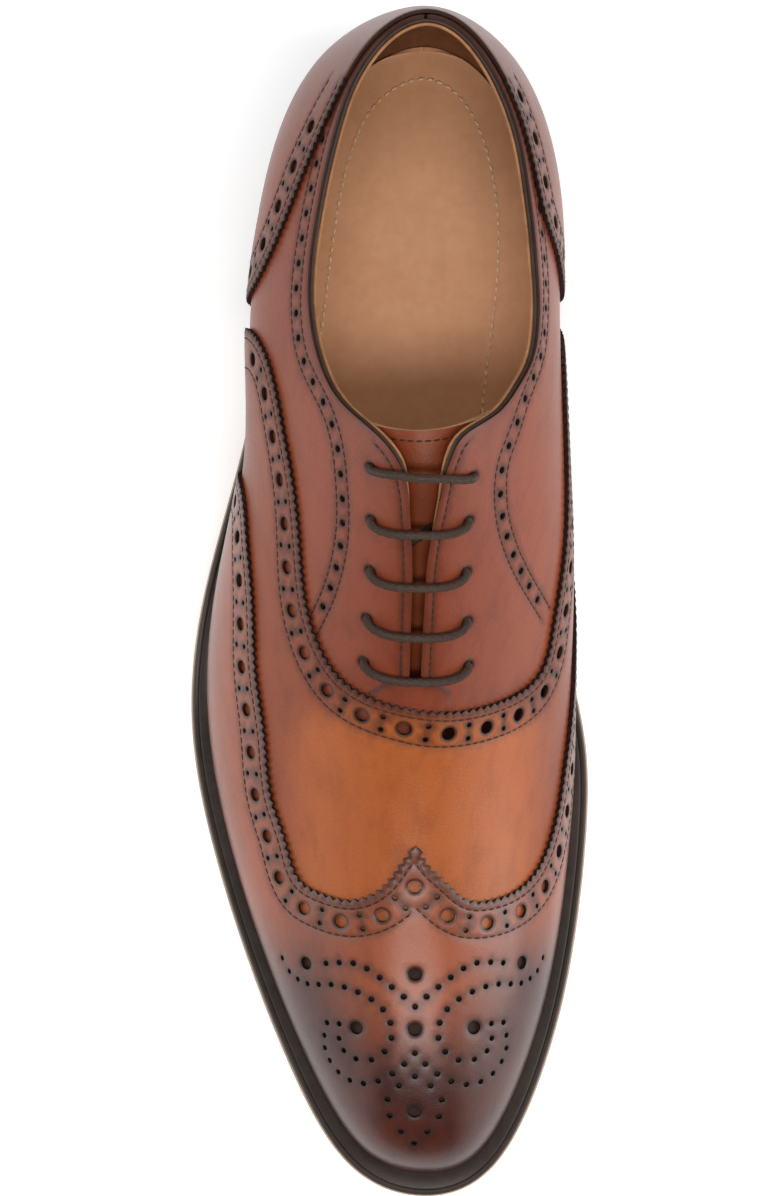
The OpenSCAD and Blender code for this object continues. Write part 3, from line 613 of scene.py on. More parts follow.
@dataclass(frozen=True)
class Thread:
    """Twisted thread or braided lace; its pattern follows the piece's own UV map."""

    name: str
    slot: str
    light: Colour
    dark: Colour
    roughness: float = .5
    turns: float = 1.0
    braid: bool = False
    lean: float = .78             # of the plies, in radians

    @staticmethod
    def _plies(net: Net, where: Wire, lean: float) -> Wire:
        """Bands that lean across the thread."""
        turned = net.add("ShaderNodeVectorRotate", {"rotation_type": "Z_AXIS"},
                         {"Vector": where, "Angle": lean})
        bands = {"Vector": turned, "Scale": 2.0, "Distortion": .6, "Detail": 1.0}
        return net.add("ShaderNodeTexWave", {}, bands, "Fac")

    def material(self) -> bpy.types.Material:
        """Plies that lean one way, or two crossing ways for a braid."""
        net = Net(self.name)
        uv = net.add("ShaderNodeUVMap", {"uv_map": "along"}, {})
        where = net.add("ShaderNodeMapping", {}, {"Vector": uv, "Scale": (self.turns, 1, 1)})
        height = first = self._plies(net, where, self.lean)
        if self.braid:
            height = first * self._plies(net, where, -self.lean) + first * .3
        fuzz = net.noise(net.place(), 2600, 3)
        colour = net.mix((height * .8 + fuzz * .3).clamp(), self.dark, self.light)
        return net.finish(Base_Color=colour, Roughness=self.roughness, Specular_IOR_Level=.25,
                          Normal=net.bump(height + fuzz * .4, .0002, .6))


@dataclass(frozen=True)
class Hard:
    """Metal, rubber, cork, foam or plastic with a fine surface."""

    name: str
    slot: str
    light: Colour
    dark: Colour
    roughness: float
    metallic: float = 0.0
    scale: float = 400.0
    height: float = .3

    def material(self) -> bpy.types.Material:
        """Grained surface of two tones."""
        net = Net(self.name)
        grain = net.noise(net.place(), self.scale, 4, .6)
        colour = net.mix(grain.ramp(.35, .65), self.dark, self.light)
        return net.finish(Base_Color=colour, Metallic=self.metallic,
                          Normal=net.bump(grain, .0002, self.height),
                          Roughness=self.roughness + (grain - .5) * .15)


class Stock(Enum):
    """Every finish on the shoe."""

    WING = Calf("burnished_wing_calf", "wing_leather", (.24, .052, .018), (.33, .080, .020),
                (.042, .008, .005), coat=.50)
    VAMP = Calf("amber_vamp_calf", "vamp_leather", (.22, .046, .015), (.34, .086, .019),
                (.060, .012, .006))
    QUARTER = Calf("red_brown_quarter_calf", "quarter_leather", (.185, .039, .017), (.25, .057, .020),
                   (.060, .014, .008))
    TONGUE = Calf("amber_tongue_calf", "quarter_leather", (.19, .040, .013), (.26, .06, .018),
                  (.06, .015, .008))
    CUT_EDGE = PlainLeather("stained_cut_edge", "quarter_leather", (.040, .015, .010),
                            (.016, .007, .005), .6)
    RAW_EDGE = PlainLeather("raw_lining_edge", "lining_leather", (.62, .36, .19), (.34, .17, .085), .8, .8)
    LINING_EDGE = PlainLeather("brushed_lining_edge", "lining_leather", (.40, .19, .085),
                               (.20, .085, .038), .8, .8)
    # dark sheet that shows through the medallion holes as painted shade inside them
    UNDERLAY = PlainLeather("painted_shade_underlay", "stiffening", (.045, .018, .010), (.016, .007, .005), .75)
    LINING = PlainLeather("tan_lining", "lining_leather", (.56, .27, .13), (.40, .18, .08), .6, .3)
    HEEL_LINING = PlainLeather("brushed_heel_lining", "heel_lining_leather", (.30, .13, .055),
                               (.15, .060, .026), .8, .7)
    SOCK = PlainLeather("natural_sock_calf", "sock_leather", (.70, .37, .19), (.60, .295, .145), .46, .16)
    BEADING = PlainLeather("dark_beading", "beading", (.055, .028, .018), (.024, .012, .008), .55, .3)
    STIFFENING = PlainLeather("pale_stiffening", "stiffening", (.60, .52, .40), (.46, .39, .29), .85)
    STAY = PlainLeather("stay_tape_weave", "stay_tape", (.72, .68, .58), (.58, .54, .45), .85, .6)
    WELT = PlainLeather("polished_welt", "welt_leather", (.034, .021, .015), (.017, .011, .008), .36, .2,
                        (1, 1, 1), 320)
    SOLE_EDGE = PlainLeather("stained_sole_edge", "sole_leather", (.030, .018, .013),
                             (.014, .009, .007), .38, .3, (1, 1, 9), 120)
    SOLE_FACE = PlainLeather("tan_sole_face", "sole_leather", (.42, .25, .14), (.30, .165, .09), .5, .35)
    SOLE_LINE = PlainLeather("bare_sole_corner", "sole_leather", (.52, .38, .27), (.36, .25, .17), .7, .4)
    HEEL = PlainLeather("stacked_heel_edge", "heel_leather", (.050, .027, .017), (.018, .010, .007),
                        .36, .35, (1, 1, 12), 90)
    RUBBER = Hard("black_heel_rubber", "heel_rubber", (.035, .034, .033), (.018, .018, .018), .7, 0, 900)
    NAIL = Hard("plain_nail_steel", "nail_steel", (.58, .58, .60), (.42, .42, .44), .35, 1, 700)
    PIN = Hard("brass_pin", "pin_brass", (.80, .58, .24), (.62, .43, .16), .32, 1, 700)
    SHANK = Hard("spring_steel", "shank_steel", (.52, .53, .55), (.40, .41, .43), .35, 1, 500)
    CORK = Hard("cork_filler", "cork", (.56, .38, .20), (.24, .13, .06), .85, 0, 420, .8)
    FOAM = Hard("sock_foam", "cushion", (.80, .76, .66), (.68, .64, .54), .9, 0, 1500)
    BOARD = PlainLeather("insole_board", "insole_leather", (.58, .41, .25), (.44, .29, .17), .7)
    TIP = Hard("lace_tip", "aglet_plastic", (.055, .045, .04), (.03, .025, .02), .3, 0, 300)
    LACE = Thread("waxed_lace_braid", "lace_cotton", (.090, .048, .028), (.014, .008, .006), .42, 1.0, True)
    STITCH = Thread("brown_thread", "quarter_leather", (.075, .028, .016), (.020, .008, .005), .5)
    PALE_STITCH = Thread("pale_thread", "sock_leather", (1.0, .76, .50), (.85, .58, .34), .6)

    def dress(self) -> bpy.types.Material:
        """The finish's material, made once."""
        made = bpy.data.materials.get(self.value.name)
        return made or self.value.material()


# ------------------------------------------------------------------ making pieces
def grid_of(points: np.ndarray, ring: bool = False, loop: bool = False,
            caps: bool = False) -> bmesh.types.BMesh:
    """A grid whose corners are moved to the given points.

    Args:
        points: rows of points, shaped (rows, columns, 3), in millimetres.
        ring: each row closes on itself.
        loop: the last row joins the first.
        caps: open ends are filled.

    Returns:
        The bmesh, in metres.
    """
    if ring:
        points = np.concatenate([points, points[:, :1]], axis=1)
    if loop:
        points = np.concatenate([points, points[:1]], axis=0)
    n, m, _ = points.shape
    bm = bmesh.new()
    bmesh.ops.create_grid(bm, x_segments=m - 1, y_segments=n - 1, size=1)
    uv = bm.loops.layers.uv.new("along")
    bm.verts.ensure_lookup_table()
    for vert, co in zip(bm.verts, (points.reshape(-1, 3) * MM).tolist()):
        vert.co = co
    for face in bm.faces:
        for corner in face.loops:
            row, column = divmod(corner.vert.index, m)
            corner[uv].uv = (row, column / (m - 1))
    if ring or loop:
        bmesh.ops.remove_doubles(bm, verts=bm.verts, dist=1e-7)
    if caps:
        bmesh.ops.holes_fill(bm, edges=bm.edges, sides=0)
    bmesh.ops.recalc_face_normals(bm, faces=bm.faces)
    return bm


def thicken(bm: bmesh.types.BMesh, thickness: float) -> None:
    """Gives a sheet its thickness, in millimetres, on the side away from its faces."""
    bmesh.ops.solidify(bm, geom=bm.faces[:], thickness=thickness * MM)


def soften(bm: bmesh.types.BMesh, angle: float = 38.0) -> None:
    """Smooth shading, with the corners above an angle left crisp."""
    for face in bm.faces:
        face.smooth = True
    for edge in bm.edges:
        edge.smooth = len(edge.link_faces) == 2 and edge.calc_face_angle(0) < math.radians(angle)


def piece(name: str, bm: bmesh.types.BMesh, *stocks: Stock, body: str | None = SHOE,
          replaces: tuple[str, ...] = ()) -> bpy.types.Object:
    """Turns a bmesh into a piece that rides on its body.

    Args:
        name: the piece's name.
        bm: its mesh, in metres; it is used up.
        stocks: its finishes, in the order of its material numbers.
        body: the body it rides on, or None to leave it on no body.
        replaces: nodes that it stands for.

    Returns:
        The object.
    """
    label = f"{name}_piece" if replaces else name
    mesh = bpy.data.meshes.new(label)
    bm.to_mesh(mesh)
    bm.free()
    obj = bpy.data.objects.new(label, mesh)
    bpy.context.scene.collection.objects.link(obj)
    for stock in stocks:
        mesh.materials.append(stock.dress())
    if replaces:
        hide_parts(*replaces)
    if body is not None:
        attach(obj, body)
    log.info("piece %s: %d faces", name, len(mesh.polygons))
    return obj


def tube(path: np.ndarray, radius: np.ndarray | float, sides: int = 12) -> np.ndarray:
    """Rows of points round a path, each frame carried over from the one before.

    Args:
        path: points along the middle.
        radius: one for all, or one for each ring and side.
        sides: points in a ring.

    Returns:
        Array shaped (rings, sides, 3).
    """
    ahead = unit(np.gradient(path, axis=0))
    side = unit(np.cross(ahead[0], [0, 0, 1.0]))
    turn = np.linspace(0, 2 * math.pi, sides, endpoint=False)
    radius = np.broadcast_to(radius, (len(path), sides))
    rows = []
    for k, d in enumerate(ahead):
        side = unit(side - d * (side @ d))
        up = np.cross(d, side)
        ring = np.outer(np.cos(turn), side) + np.outer(np.sin(turn), up)
        rows.append(path[k] + ring * radius[k][:, None])
    return np.array(rows)


def inside(points: np.ndarray, loop: np.ndarray) -> np.ndarray:
    """Which points lie inside a closed loop."""
    x, y = points.T
    odd = np.zeros(len(points), bool)
    for (ax, ay), (bx, by) in zip(loop, np.roll(loop, -1, axis=0)):
        if ay != by:
            crosses = (ay > y) != (by > y)
            odd ^= crosses & (x < (bx - ax) * (y - ay) / (by - ay) + ax)
    return odd


def nearest(points: np.ndarray, targets: np.ndarray) -> np.ndarray:
    """Distance from each point to the nearest target."""
    if len(targets) == 0:
        return np.full(len(points), 1e3)
    tree = KDTree(len(targets))
    wide = np.zeros((len(targets), 3))
    wide[:, :targets.shape[1]] = targets
    for k, co in enumerate(wide.tolist()):
        tree.insert(co, k)
    tree.balance()
    asked = np.zeros((len(points), 3))
    asked[:, :points.shape[1]] = points
    return np.array([tree.find(co)[2] for co in asked.tolist()])


@dataclass
class Hole:
    """A round hole punched through a panel."""

    centre: np.ndarray
    radius: float

    @property
    def large(self) -> bool:
        """True for the wide holes, which get a finer rim."""
        return self.radius > 1

    @property
    def sides(self) -> int:
        """Corners of its rim."""
        return 20 if self.large else 10


@dataclass
class Panel:
    """A leather panel: cut flat on the chart, punched, then laid on the form."""

    form: Form
    name: str
    outline: np.ndarray
    high: float
    thickness: float = 1.0
    holes: list[Hole] = field(default_factory=list)
    grooves: list[Seam] = field(default_factory=list)
    crisp: np.ndarray | None = None    # chart points of the cut edges that are stained dark
    spacing: float = 1.45
    edge_stain: float = 1.0
    edge_fall: float = .24             # how far the top rounds off at a cut edge
    hole_fall: float = .20
    groove_depth: float = .16

    def _circle(self, hole: Hole, stretch: np.ndarray, extra: float) -> np.ndarray:
        """Chart points of a circle that is round on the shoe."""
        w, v = np.linalg.eigh(stretch.T @ stretch)
        ease = v @ np.diag(1 / np.sqrt(w)) @ v.T
        turn = np.linspace(0, 2 * math.pi, hole.sides, endpoint=False)
        ring = np.column_stack([np.cos(turn), np.sin(turn)]) * (hole.radius + extra)
        return hole.centre + ring @ ease.T

    def _cut(self) -> tuple[np.ndarray, list]:
        """Flat mesh of the panel: its points and its triangles."""
        fixed, edges, spare = [self.outline], [], []
        n = len(self.outline)
        edges += [(k, (k + 1) % n) for k in range(n)]
        if self.holes:
            maps = self.form.stretch(np.array([h.centre for h in self.holes]))
            for hole, stretch in zip(self.holes, maps):
                edges += [(n + k, n + (k + 1) % hole.sides) for k in range(hole.sides)]
                fixed.append(self._circle(hole, stretch, 0))
                n += hole.sides
                spare.append(self._circle(hole, stretch, .38))
                if hole.large:
                    spare.append(self._circle(hole, stretch, .95))
        border = Seam(self.form, np.vstack([self.outline, self.outline[:1]]))
        for inset in (.5, 1.2):
            for side in (-1, 1):
                spare.append(border.moved(side * inset, border.evenly(.9)))
        for groove in self.grooves:
            for offset in (-.45, 0, .45):
                spare.append(groove.moved(offset, groove.evenly(1.15)))
        fixed = np.vstack(fixed)
        extra = np.vstack(spare)
        keep = inside(extra, self.outline)
        extra = extra[keep]
        extra = extra[nearest(extra, fixed) > .32]
        lo, hi = self.outline.min(0), self.outline.max(0)
        s = self.spacing
        rows = []
        for j, y in enumerate(np.arange(lo[1], hi[1], s * .866)):
            x = np.arange(lo[0] + (j % 2) * s / 2, hi[0], s)
            rows.append(np.column_stack([x, np.full(len(x), y)]))
        grid = np.vstack(rows)
        back = grid[:, 1] > 128
        coarse = (np.arange(len(grid)) % 2 == 0)
        grid = grid[~back | coarse]
        grid = grid[inside(grid, self.outline)]
        grid = grid[nearest(grid, np.vstack([fixed, extra])) > s * .62]
        points = np.vstack([fixed, extra, grid])
        for hole in self.holes:
            near = np.linalg.norm(points - hole.centre, axis=1) < hole.radius * .80
            near[:len(fixed)] = False
            points = points[~near]
        flat = [Vector(p) for p in points.tolist()]
        verts, _, faces, *_ = delaunay_2d_cdt(flat, edges, [], 0, 1e-5, False)
        flat, tris = np.array([v[:] for v in verts]), np.array([list(f) for f in faces])
        middle = flat[tris].mean(axis=1)
        kept = inside(middle, self.outline)
        for hole, stretch in zip(self.holes, maps if self.holes else []):
            kept &= ~inside(middle, self._circle(hole, stretch, 0))
        return flat, tris[kept].tolist()

    def lay(self, tone: "Tone", *stocks: Stock, replaces: tuple[str, ...] = ()) -> bpy.types.Object:
        """Lays the panel on the form and makes its piece.

        Args:
            tone: how its colour is burnished.
            stocks: face and cut-edge finishes.
            replaces: nodes it stands for.

        Returns:
            The object.
        """
        xy, faces = self._cut()
        q, t = self.form.from_chart(xy)
        base = self.form.point(q, t)
        border = Seam(self.form, np.vstack([self.outline, self.outline[:1]]))
        rim = nearest(base, self.form.on(border.at(border.evenly(.4))))
        relief = -self.edge_fall * bell(rim, .42)
        stain_and_shade = np.zeros(len(xy))
        if self.crisp is not None:
            stain_and_shade = self.edge_stain * bell(nearest(base, self.form.on(self.crisp)), 1.15)
        if self.holes:
            for size in (True, False):
                some = [h for h in self.holes if h.large is size]
                if some:
                    centres = self.form.on(np.array([h.centre for h in some]))
                    away = nearest(base, centres) - some[0].radius
                    relief -= self.hole_fall * (1 if size else .5) * bell(np.maximum(away, 0), .5)
                    # painted shade: the face darkens round each hole, where it dips into the hole
                    stain_and_shade = np.maximum(stain_and_shade, bell(np.maximum(away - .12, 0), .6 if size else .4))
        for groove in self.grooves:
            line = nearest(base, self.form.on(groove.at(groove.evenly(.4))))
            relief -= self.groove_depth * bell(line, .42)
            stain_and_shade = np.maximum(stain_and_shade, .6 * bell(line, .6))
        points = base + self.form.normal(q, t) * (self.high + relief)[:, None]
        bm = bmesh.new()
        layers = {key: bm.verts.layers.float.new(key) for key in ("amber", "burnish", "seam")}
        values = tone.paint(signed(q), t, base, rim)
        # seam: dark stain on the cut edges, plus painted shade round the holes
        values["seam"] = stain_and_shade
        verts = [bm.verts.new(co) for co in (points * MM).tolist()]
        for key, layer in layers.items():
            for vert, value in zip(verts, values[key].tolist()):
                vert[layer] = value
        for face in faces:
            bm.faces.new([verts[k] for k in face])
        for vert in [v for v in bm.verts if not v.link_faces]:
            bm.verts.remove(vert)
        bm.normal_update()
        if sum(f.normal.z for f in bm.faces) < 0 or self._inward(bm):
            bmesh.ops.reverse_faces(bm, faces=bm.faces)
        thicken(bm, self.thickness)
        for face in bm.faces:
            face.material_index = 1 if len(face.verts) == 4 and len(stocks) > 1 else 0
        soften(bm)
        return piece(self.name, bm, *stocks, replaces=replaces)

    def _inward(self, bm: bmesh.types.BMesh) -> bool:
        """True if the faces look into the shoe."""
        bm.faces.ensure_lookup_table()
        face = bm.faces[len(bm.faces) // 2]
        centre = np.array(face.calc_center_median()) / MM
        inward = np.array([7.0, np.clip(centre[1], -100, 116), 10.0]) - centre
        return float(np.dot(inward, face.normal)) > 0


class Tone:
    """How a panel's colour is worked: where it is amber and where it is burnished dark."""

    def paint(self, q: np.ndarray, t: np.ndarray, at: np.ndarray, rim: np.ndarray) -> dict[str, np.ndarray]:
        """Values for every point of a panel.

        Args:
            q: ring positions, negative on the inner side; not used.
            t: shares of the section.
            at: points on the form.
            rim: distances from the panel's edge.

        Returns:
            The amber and burnish values.
        """
        raise NotImplementedError


class WingTone(Tone):
    """Amber behind the medallion that is a painted highlight glow, dark at the toe, the sides and the foot.
    """

    def paint(self, q: np.ndarray, t: np.ndarray, at: np.ndarray, rim: np.ndarray) -> dict[str, np.ndarray]:
        """See Tone.paint."""
        x, y = at[:, 0] - CROWN_X, at[:, 1]
        far = np.hypot(x / 40, np.minimum(y + 92, 0) / 46)
        toe = smooth((far - .14) / .60) * smooth((-72 - y) / 30)
        foot = .55 * (1 - smooth(t / .30))
        rim_dark = .35 * np.exp(-rim / 3.5)
        # amber: a painted highlight glow over the middle behind the medallion, on a faint even tint
        return {"amber": .22 * smooth(1.1 - far) * smooth((-62 - y) / 14) + .1,
                "burnish": np.clip(toe * .95 + foot + rim_dark, 0, 1)}


class VampTone(Tone):
    """Bright amber over the middle, brown along the seams and towards the sole."""

    def paint(self, q: np.ndarray, t: np.ndarray, at: np.ndarray, rim: np.ndarray) -> dict[str, np.ndarray]:
        """See Tone.paint."""
        x, y = at[:, 0] - CROWN_X, at[:, 1]
        middle = smooth((38 - np.abs(x)) / 14) * smooth((-22 - y) / 12)
        foot = .5 * (1 - smooth(t / .35))
        return {"amber": np.clip(.95 * middle, 0, 1),
                "burnish": np.clip(.22 * np.exp(-rim / 5) + foot + .12 * (1 - middle), 0, 1)}


class QuarterTone(Tone):
    """Reddish brown, darker at the heel and low down."""

    def paint(self, q: np.ndarray, t: np.ndarray, at: np.ndarray, rim: np.ndarray) -> dict[str, np.ndarray]:
        """See Tone.paint."""
        y = at[:, 1]
        heel = smooth((y - 95) / 50)
        foot = .5 * (1 - smooth(t / .3))
        glow = smooth((t - .25) / .2) * smooth((.68 - t) / .12) * smooth((70 - y) / 40)
        return {"amber": .35 * glow + .1,
                "burnish": np.clip(.32 * np.exp(-rim / 4) + foot + .35 * heel, 0, 1)}


# ------------------------------------------------------------------ studio
@dataclass
class Studio:
    """Camera, floor and soft light."""

    target: Vector = field(default_factory=lambda: Vector((0, .002, .040)))
    elevation: float = 86.0
    distance: float = 1.1
    lens: float = 126.42
    floor_half: float = 2.5
    bright: float = 1.25
    dim: float = .07

    def build(self) -> None:
        """Makes the camera first, then the floor and the lights."""
        scene = bpy.context.scene
        scene.view_settings.view_transform = "Standard"
        camera = bpy.data.objects.new("camera", bpy.data.cameras.new("camera"))
        scene.collection.objects.link(camera)
        camera.data.lens, camera.data.sensor_width = self.lens, 36.0
        camera.data.clip_start, camera.data.clip_end = .05, 20
        e = math.radians(self.elevation)
        back = Vector((0, -math.cos(e), math.sin(e)))
        camera.location = self.target + back * self.distance
        camera.rotation_euler = (-back).to_track_quat("-Z", "Y").to_euler()
        scene.camera = camera
        self._floor()
        self._sky(scene)
        self._softbox("toe_softbox", (.04, -.54, 1.45), (1.0, .36), 11.5)
        self._softbox("heel_softbox", (0, .62, 1.45), (.60, .50), 4.5)
        self._softbox("outer_softbox", (-1.25, -.05, .62), (.5, 1.5), 6.5)
        self._softbox("inner_softbox", (1.25, -.20, .62), (.5, 1.5), 12)

    def _floor(self) -> None:
        """Plain pale floor."""
        bm = bmesh.new()
        bmesh.ops.create_grid(bm, x_segments=1, y_segments=1, size=self.floor_half)
        mesh = bpy.data.meshes.new("floor")
        bm.to_mesh(mesh)
        bm.free()
        floor = bpy.data.objects.new("floor", mesh)
        bpy.context.scene.collection.objects.link(floor)
        net = Net("pale_floor")
        mesh.materials.append(net.finish(Base_Color=(.90, .90, .90, 1), Roughness=.85,
                                         Specular_IOR_Level=.1, Emission_Color=(1, 1, 1, 1),
                                         Emission_Strength=.30))

    def _sky(self, scene: bpy.types.Scene) -> None:
        """Surroundings bright on both sides and dim elsewhere, so that the top keeps its colour."""
        net = Net("studio", sky=True)
        ray = net.add("ShaderNodeTexCoord", {}, {}, "Generated")
        across = net.add("ShaderNodeSeparateXYZ", {}, {"Vector": ray}, "X")
        shade = net.mix((across * across).ramp(.20, .75), (self.dim,) * 3, (self.bright,) * 3)
        net.add_output(net.add("ShaderNodeBackground", {}, {"Color": shade}), "ShaderNodeOutputWorld")
        scene.world = net.material

    def _softbox(self, name: str, at: tuple[float, float, float], size: Pair, power: float) -> None:
        """One rectangular light that looks at the shoe."""
        data = bpy.data.lights.new(name, "AREA")
        data.shape, data.size, data.size_y, data.energy = "RECTANGLE", *size, power
        light = bpy.data.objects.new(name, data)
        bpy.context.scene.collection.objects.link(light)
        light.location = at
        light.rotation_euler = (Vector((0, 0, .04)) - Vector(at)).to_track_quat("-Z", "Y").to_euler()


# ------------------------------------------------------------------ stitching
@dataclass
class Stitching:
    """Rows of machine stitches that lie in the grooves of the panels."""

    form: Form
    pitch: float = 2.2
    length: float = 1.75
    width: float = .54
    rise: float = .36

    def sew(self, name: str, seams: list[Seam], height: float) -> bpy.types.Object:
        """Sews every stitch of some rows as one piece.

        Args:
            name: the piece's name.
            seams: the rows.
            height: of the leather's face above the form.

        Returns:
            The object.
        """
        centres, aheads = [], []
        for seam in seams:
            s = seam.evenly(self.pitch, self.pitch / 2, seam.length - self.pitch / 2)
            a, b = seam.at(s - self.length / 2), seam.at(s + self.length / 2)
            both = self.form.on(np.vstack([a, b]), height - .10)
            first, last = both[:len(s)], both[len(s):]
            centres.append((first + last) / 2)
            aheads.append(last - first)
        return self.place(name, np.vstack(centres), np.vstack(aheads), None, Stock.STITCH, SHOE)

    def along(self, name: str, path: np.ndarray, gap: Pair, length: float, turn: float, up: tuple,
              stock: Stock, body: str | None) -> bpy.types.Object:
        """One row along a path of points in the air.

        Args:
            name: the piece's name.
            path: points close together.
            gap: first stitch's place and the length left free at the end.
            length: of a stitch, along the path.
            turn: share of its length by which each stitch turns across the path.
            up: the leather's normal.
            stock: thread.
            body: body it rides on.

        Returns:
            The object.
        """
        s = running(path)
        starts = np.arange(gap[0], s[-1] - gap[1], self.pitch)
        first, last = (np.column_stack([np.interp(at, s, axis) for axis in path.T])
                       for at in (starts, starts + length))
        ahead = last - first
        across = np.column_stack([-ahead[:, 1], ahead[:, 0], 0 * starts]) * turn
        ups = np.tile(np.array(up, float), (len(starts), 1))
        return self.place(name, (first + last) / 2, ahead + across, ups, stock, body)

    def place(self, name: str, centres: np.ndarray, aheads: np.ndarray, ups: np.ndarray | None,
              stock: Stock, body: str | None) -> bpy.types.Object:
        """Copies one stitch to every place.

        Args:
            name: the piece's name.
            centres: middle of each stitch.
            aheads: its direction and length.
            ups: the leather's normals, or None to work them out from the form's crown line.
            stock: thread.
            body: body it rides on.

        Returns:
            The object.
        """
        if ups is None:
            core = np.column_stack([np.full(len(centres), CROWN_X), np.clip(centres[:, 1], -100, 116),
                                    centres[:, 2] * .45])
            ups = centres - core
        size = np.linalg.norm(aheads, axis=1)
        d = unit(aheads)
        u = unit(ups - d * np.sum(ups * d, axis=1, keepdims=True))
        w = np.cross(d, u)
        seed = bmesh.new()
        bmesh.ops.create_uvsphere(seed, u_segments=6, v_segments=4, radius=.5)
        local = np.array([v.co[:] for v in seed.verts])
        faces = [[v.index for v in f.verts] for f in seed.faces]
        seed.free()
        local[:, 0] = np.sign(local[:, 0]) * np.abs(local[:, 0] * 2) ** .7 / 2
        at = (centres[:, None] + local[None, :, 0:1] * (d * size[:, None])[:, None]
              + local[None, :, 1:2] * w[:, None] * self.width
              + local[None, :, 2:3] * u[:, None] * self.rise)
        n = len(local)
        mesh = bpy.data.meshes.new(name)
        all_faces = [[k * n + v for v in f] for k in range(len(centres)) for f in faces]
        mesh.from_pydata((at.reshape(-1, 3) * MM).tolist(), [], all_faces)
        uv = mesh.uv_layers.new(name="along")
        corner = np.empty(len(mesh.loops), int)
        mesh.loops.foreach_get("vertex_index", corner)
        flat = np.column_stack([local[corner % n, 0] * 1.6, local[corner % n, 1] * .6])
        uv.data.foreach_set("uv", flat.ravel())
        bm = bmesh.new()
        bm.from_mesh(mesh)
        bpy.data.meshes.remove(mesh)
        bmesh.ops.recalc_face_normals(bm, faces=bm.faces)
        soften(bm, 80)
        return piece(name, bm, stock, body=body)


# ------------------------------------------------------------------ upper
@dataclass
class Brogue:
    """Sizes of the punched and pinked work."""

    pitch: float = 2.25
    depth: float = 1.05
    first_row: float = 2.1
    middle: float = 5.75
    second_row: float = 9.4
    hole: float = 1.76
    pin_hole: float = .66
    every: float = 11.3
    spread: float = 1.85

    def band(self, edge: Seam, side: int, start: float, end: float) -> list[Hole]:
        """Large holes along the middle of the band with a pair of small ones between.

        Args:
            edge: the pinked edge.
            side: 1 if the panel lies to the left of it, -1 to the right.
            start: running length of the first large hole.
            end: where the band stops.

        Returns:
            The holes.
        """
        middle = edge.beside(side * self.middle)
        scale = middle.length / edge.length
        places = middle.evenly(self.every, start * scale, end * scale)
        holes = [Hole(p, self.hole) for p in middle.at(places)]
        for offset in (-self.spread, self.spread):
            halves = places[:-1] + self.every / 2
            holes += [Hole(p, self.pin_hole) for p in middle.moved(offset, halves)]
        return holes


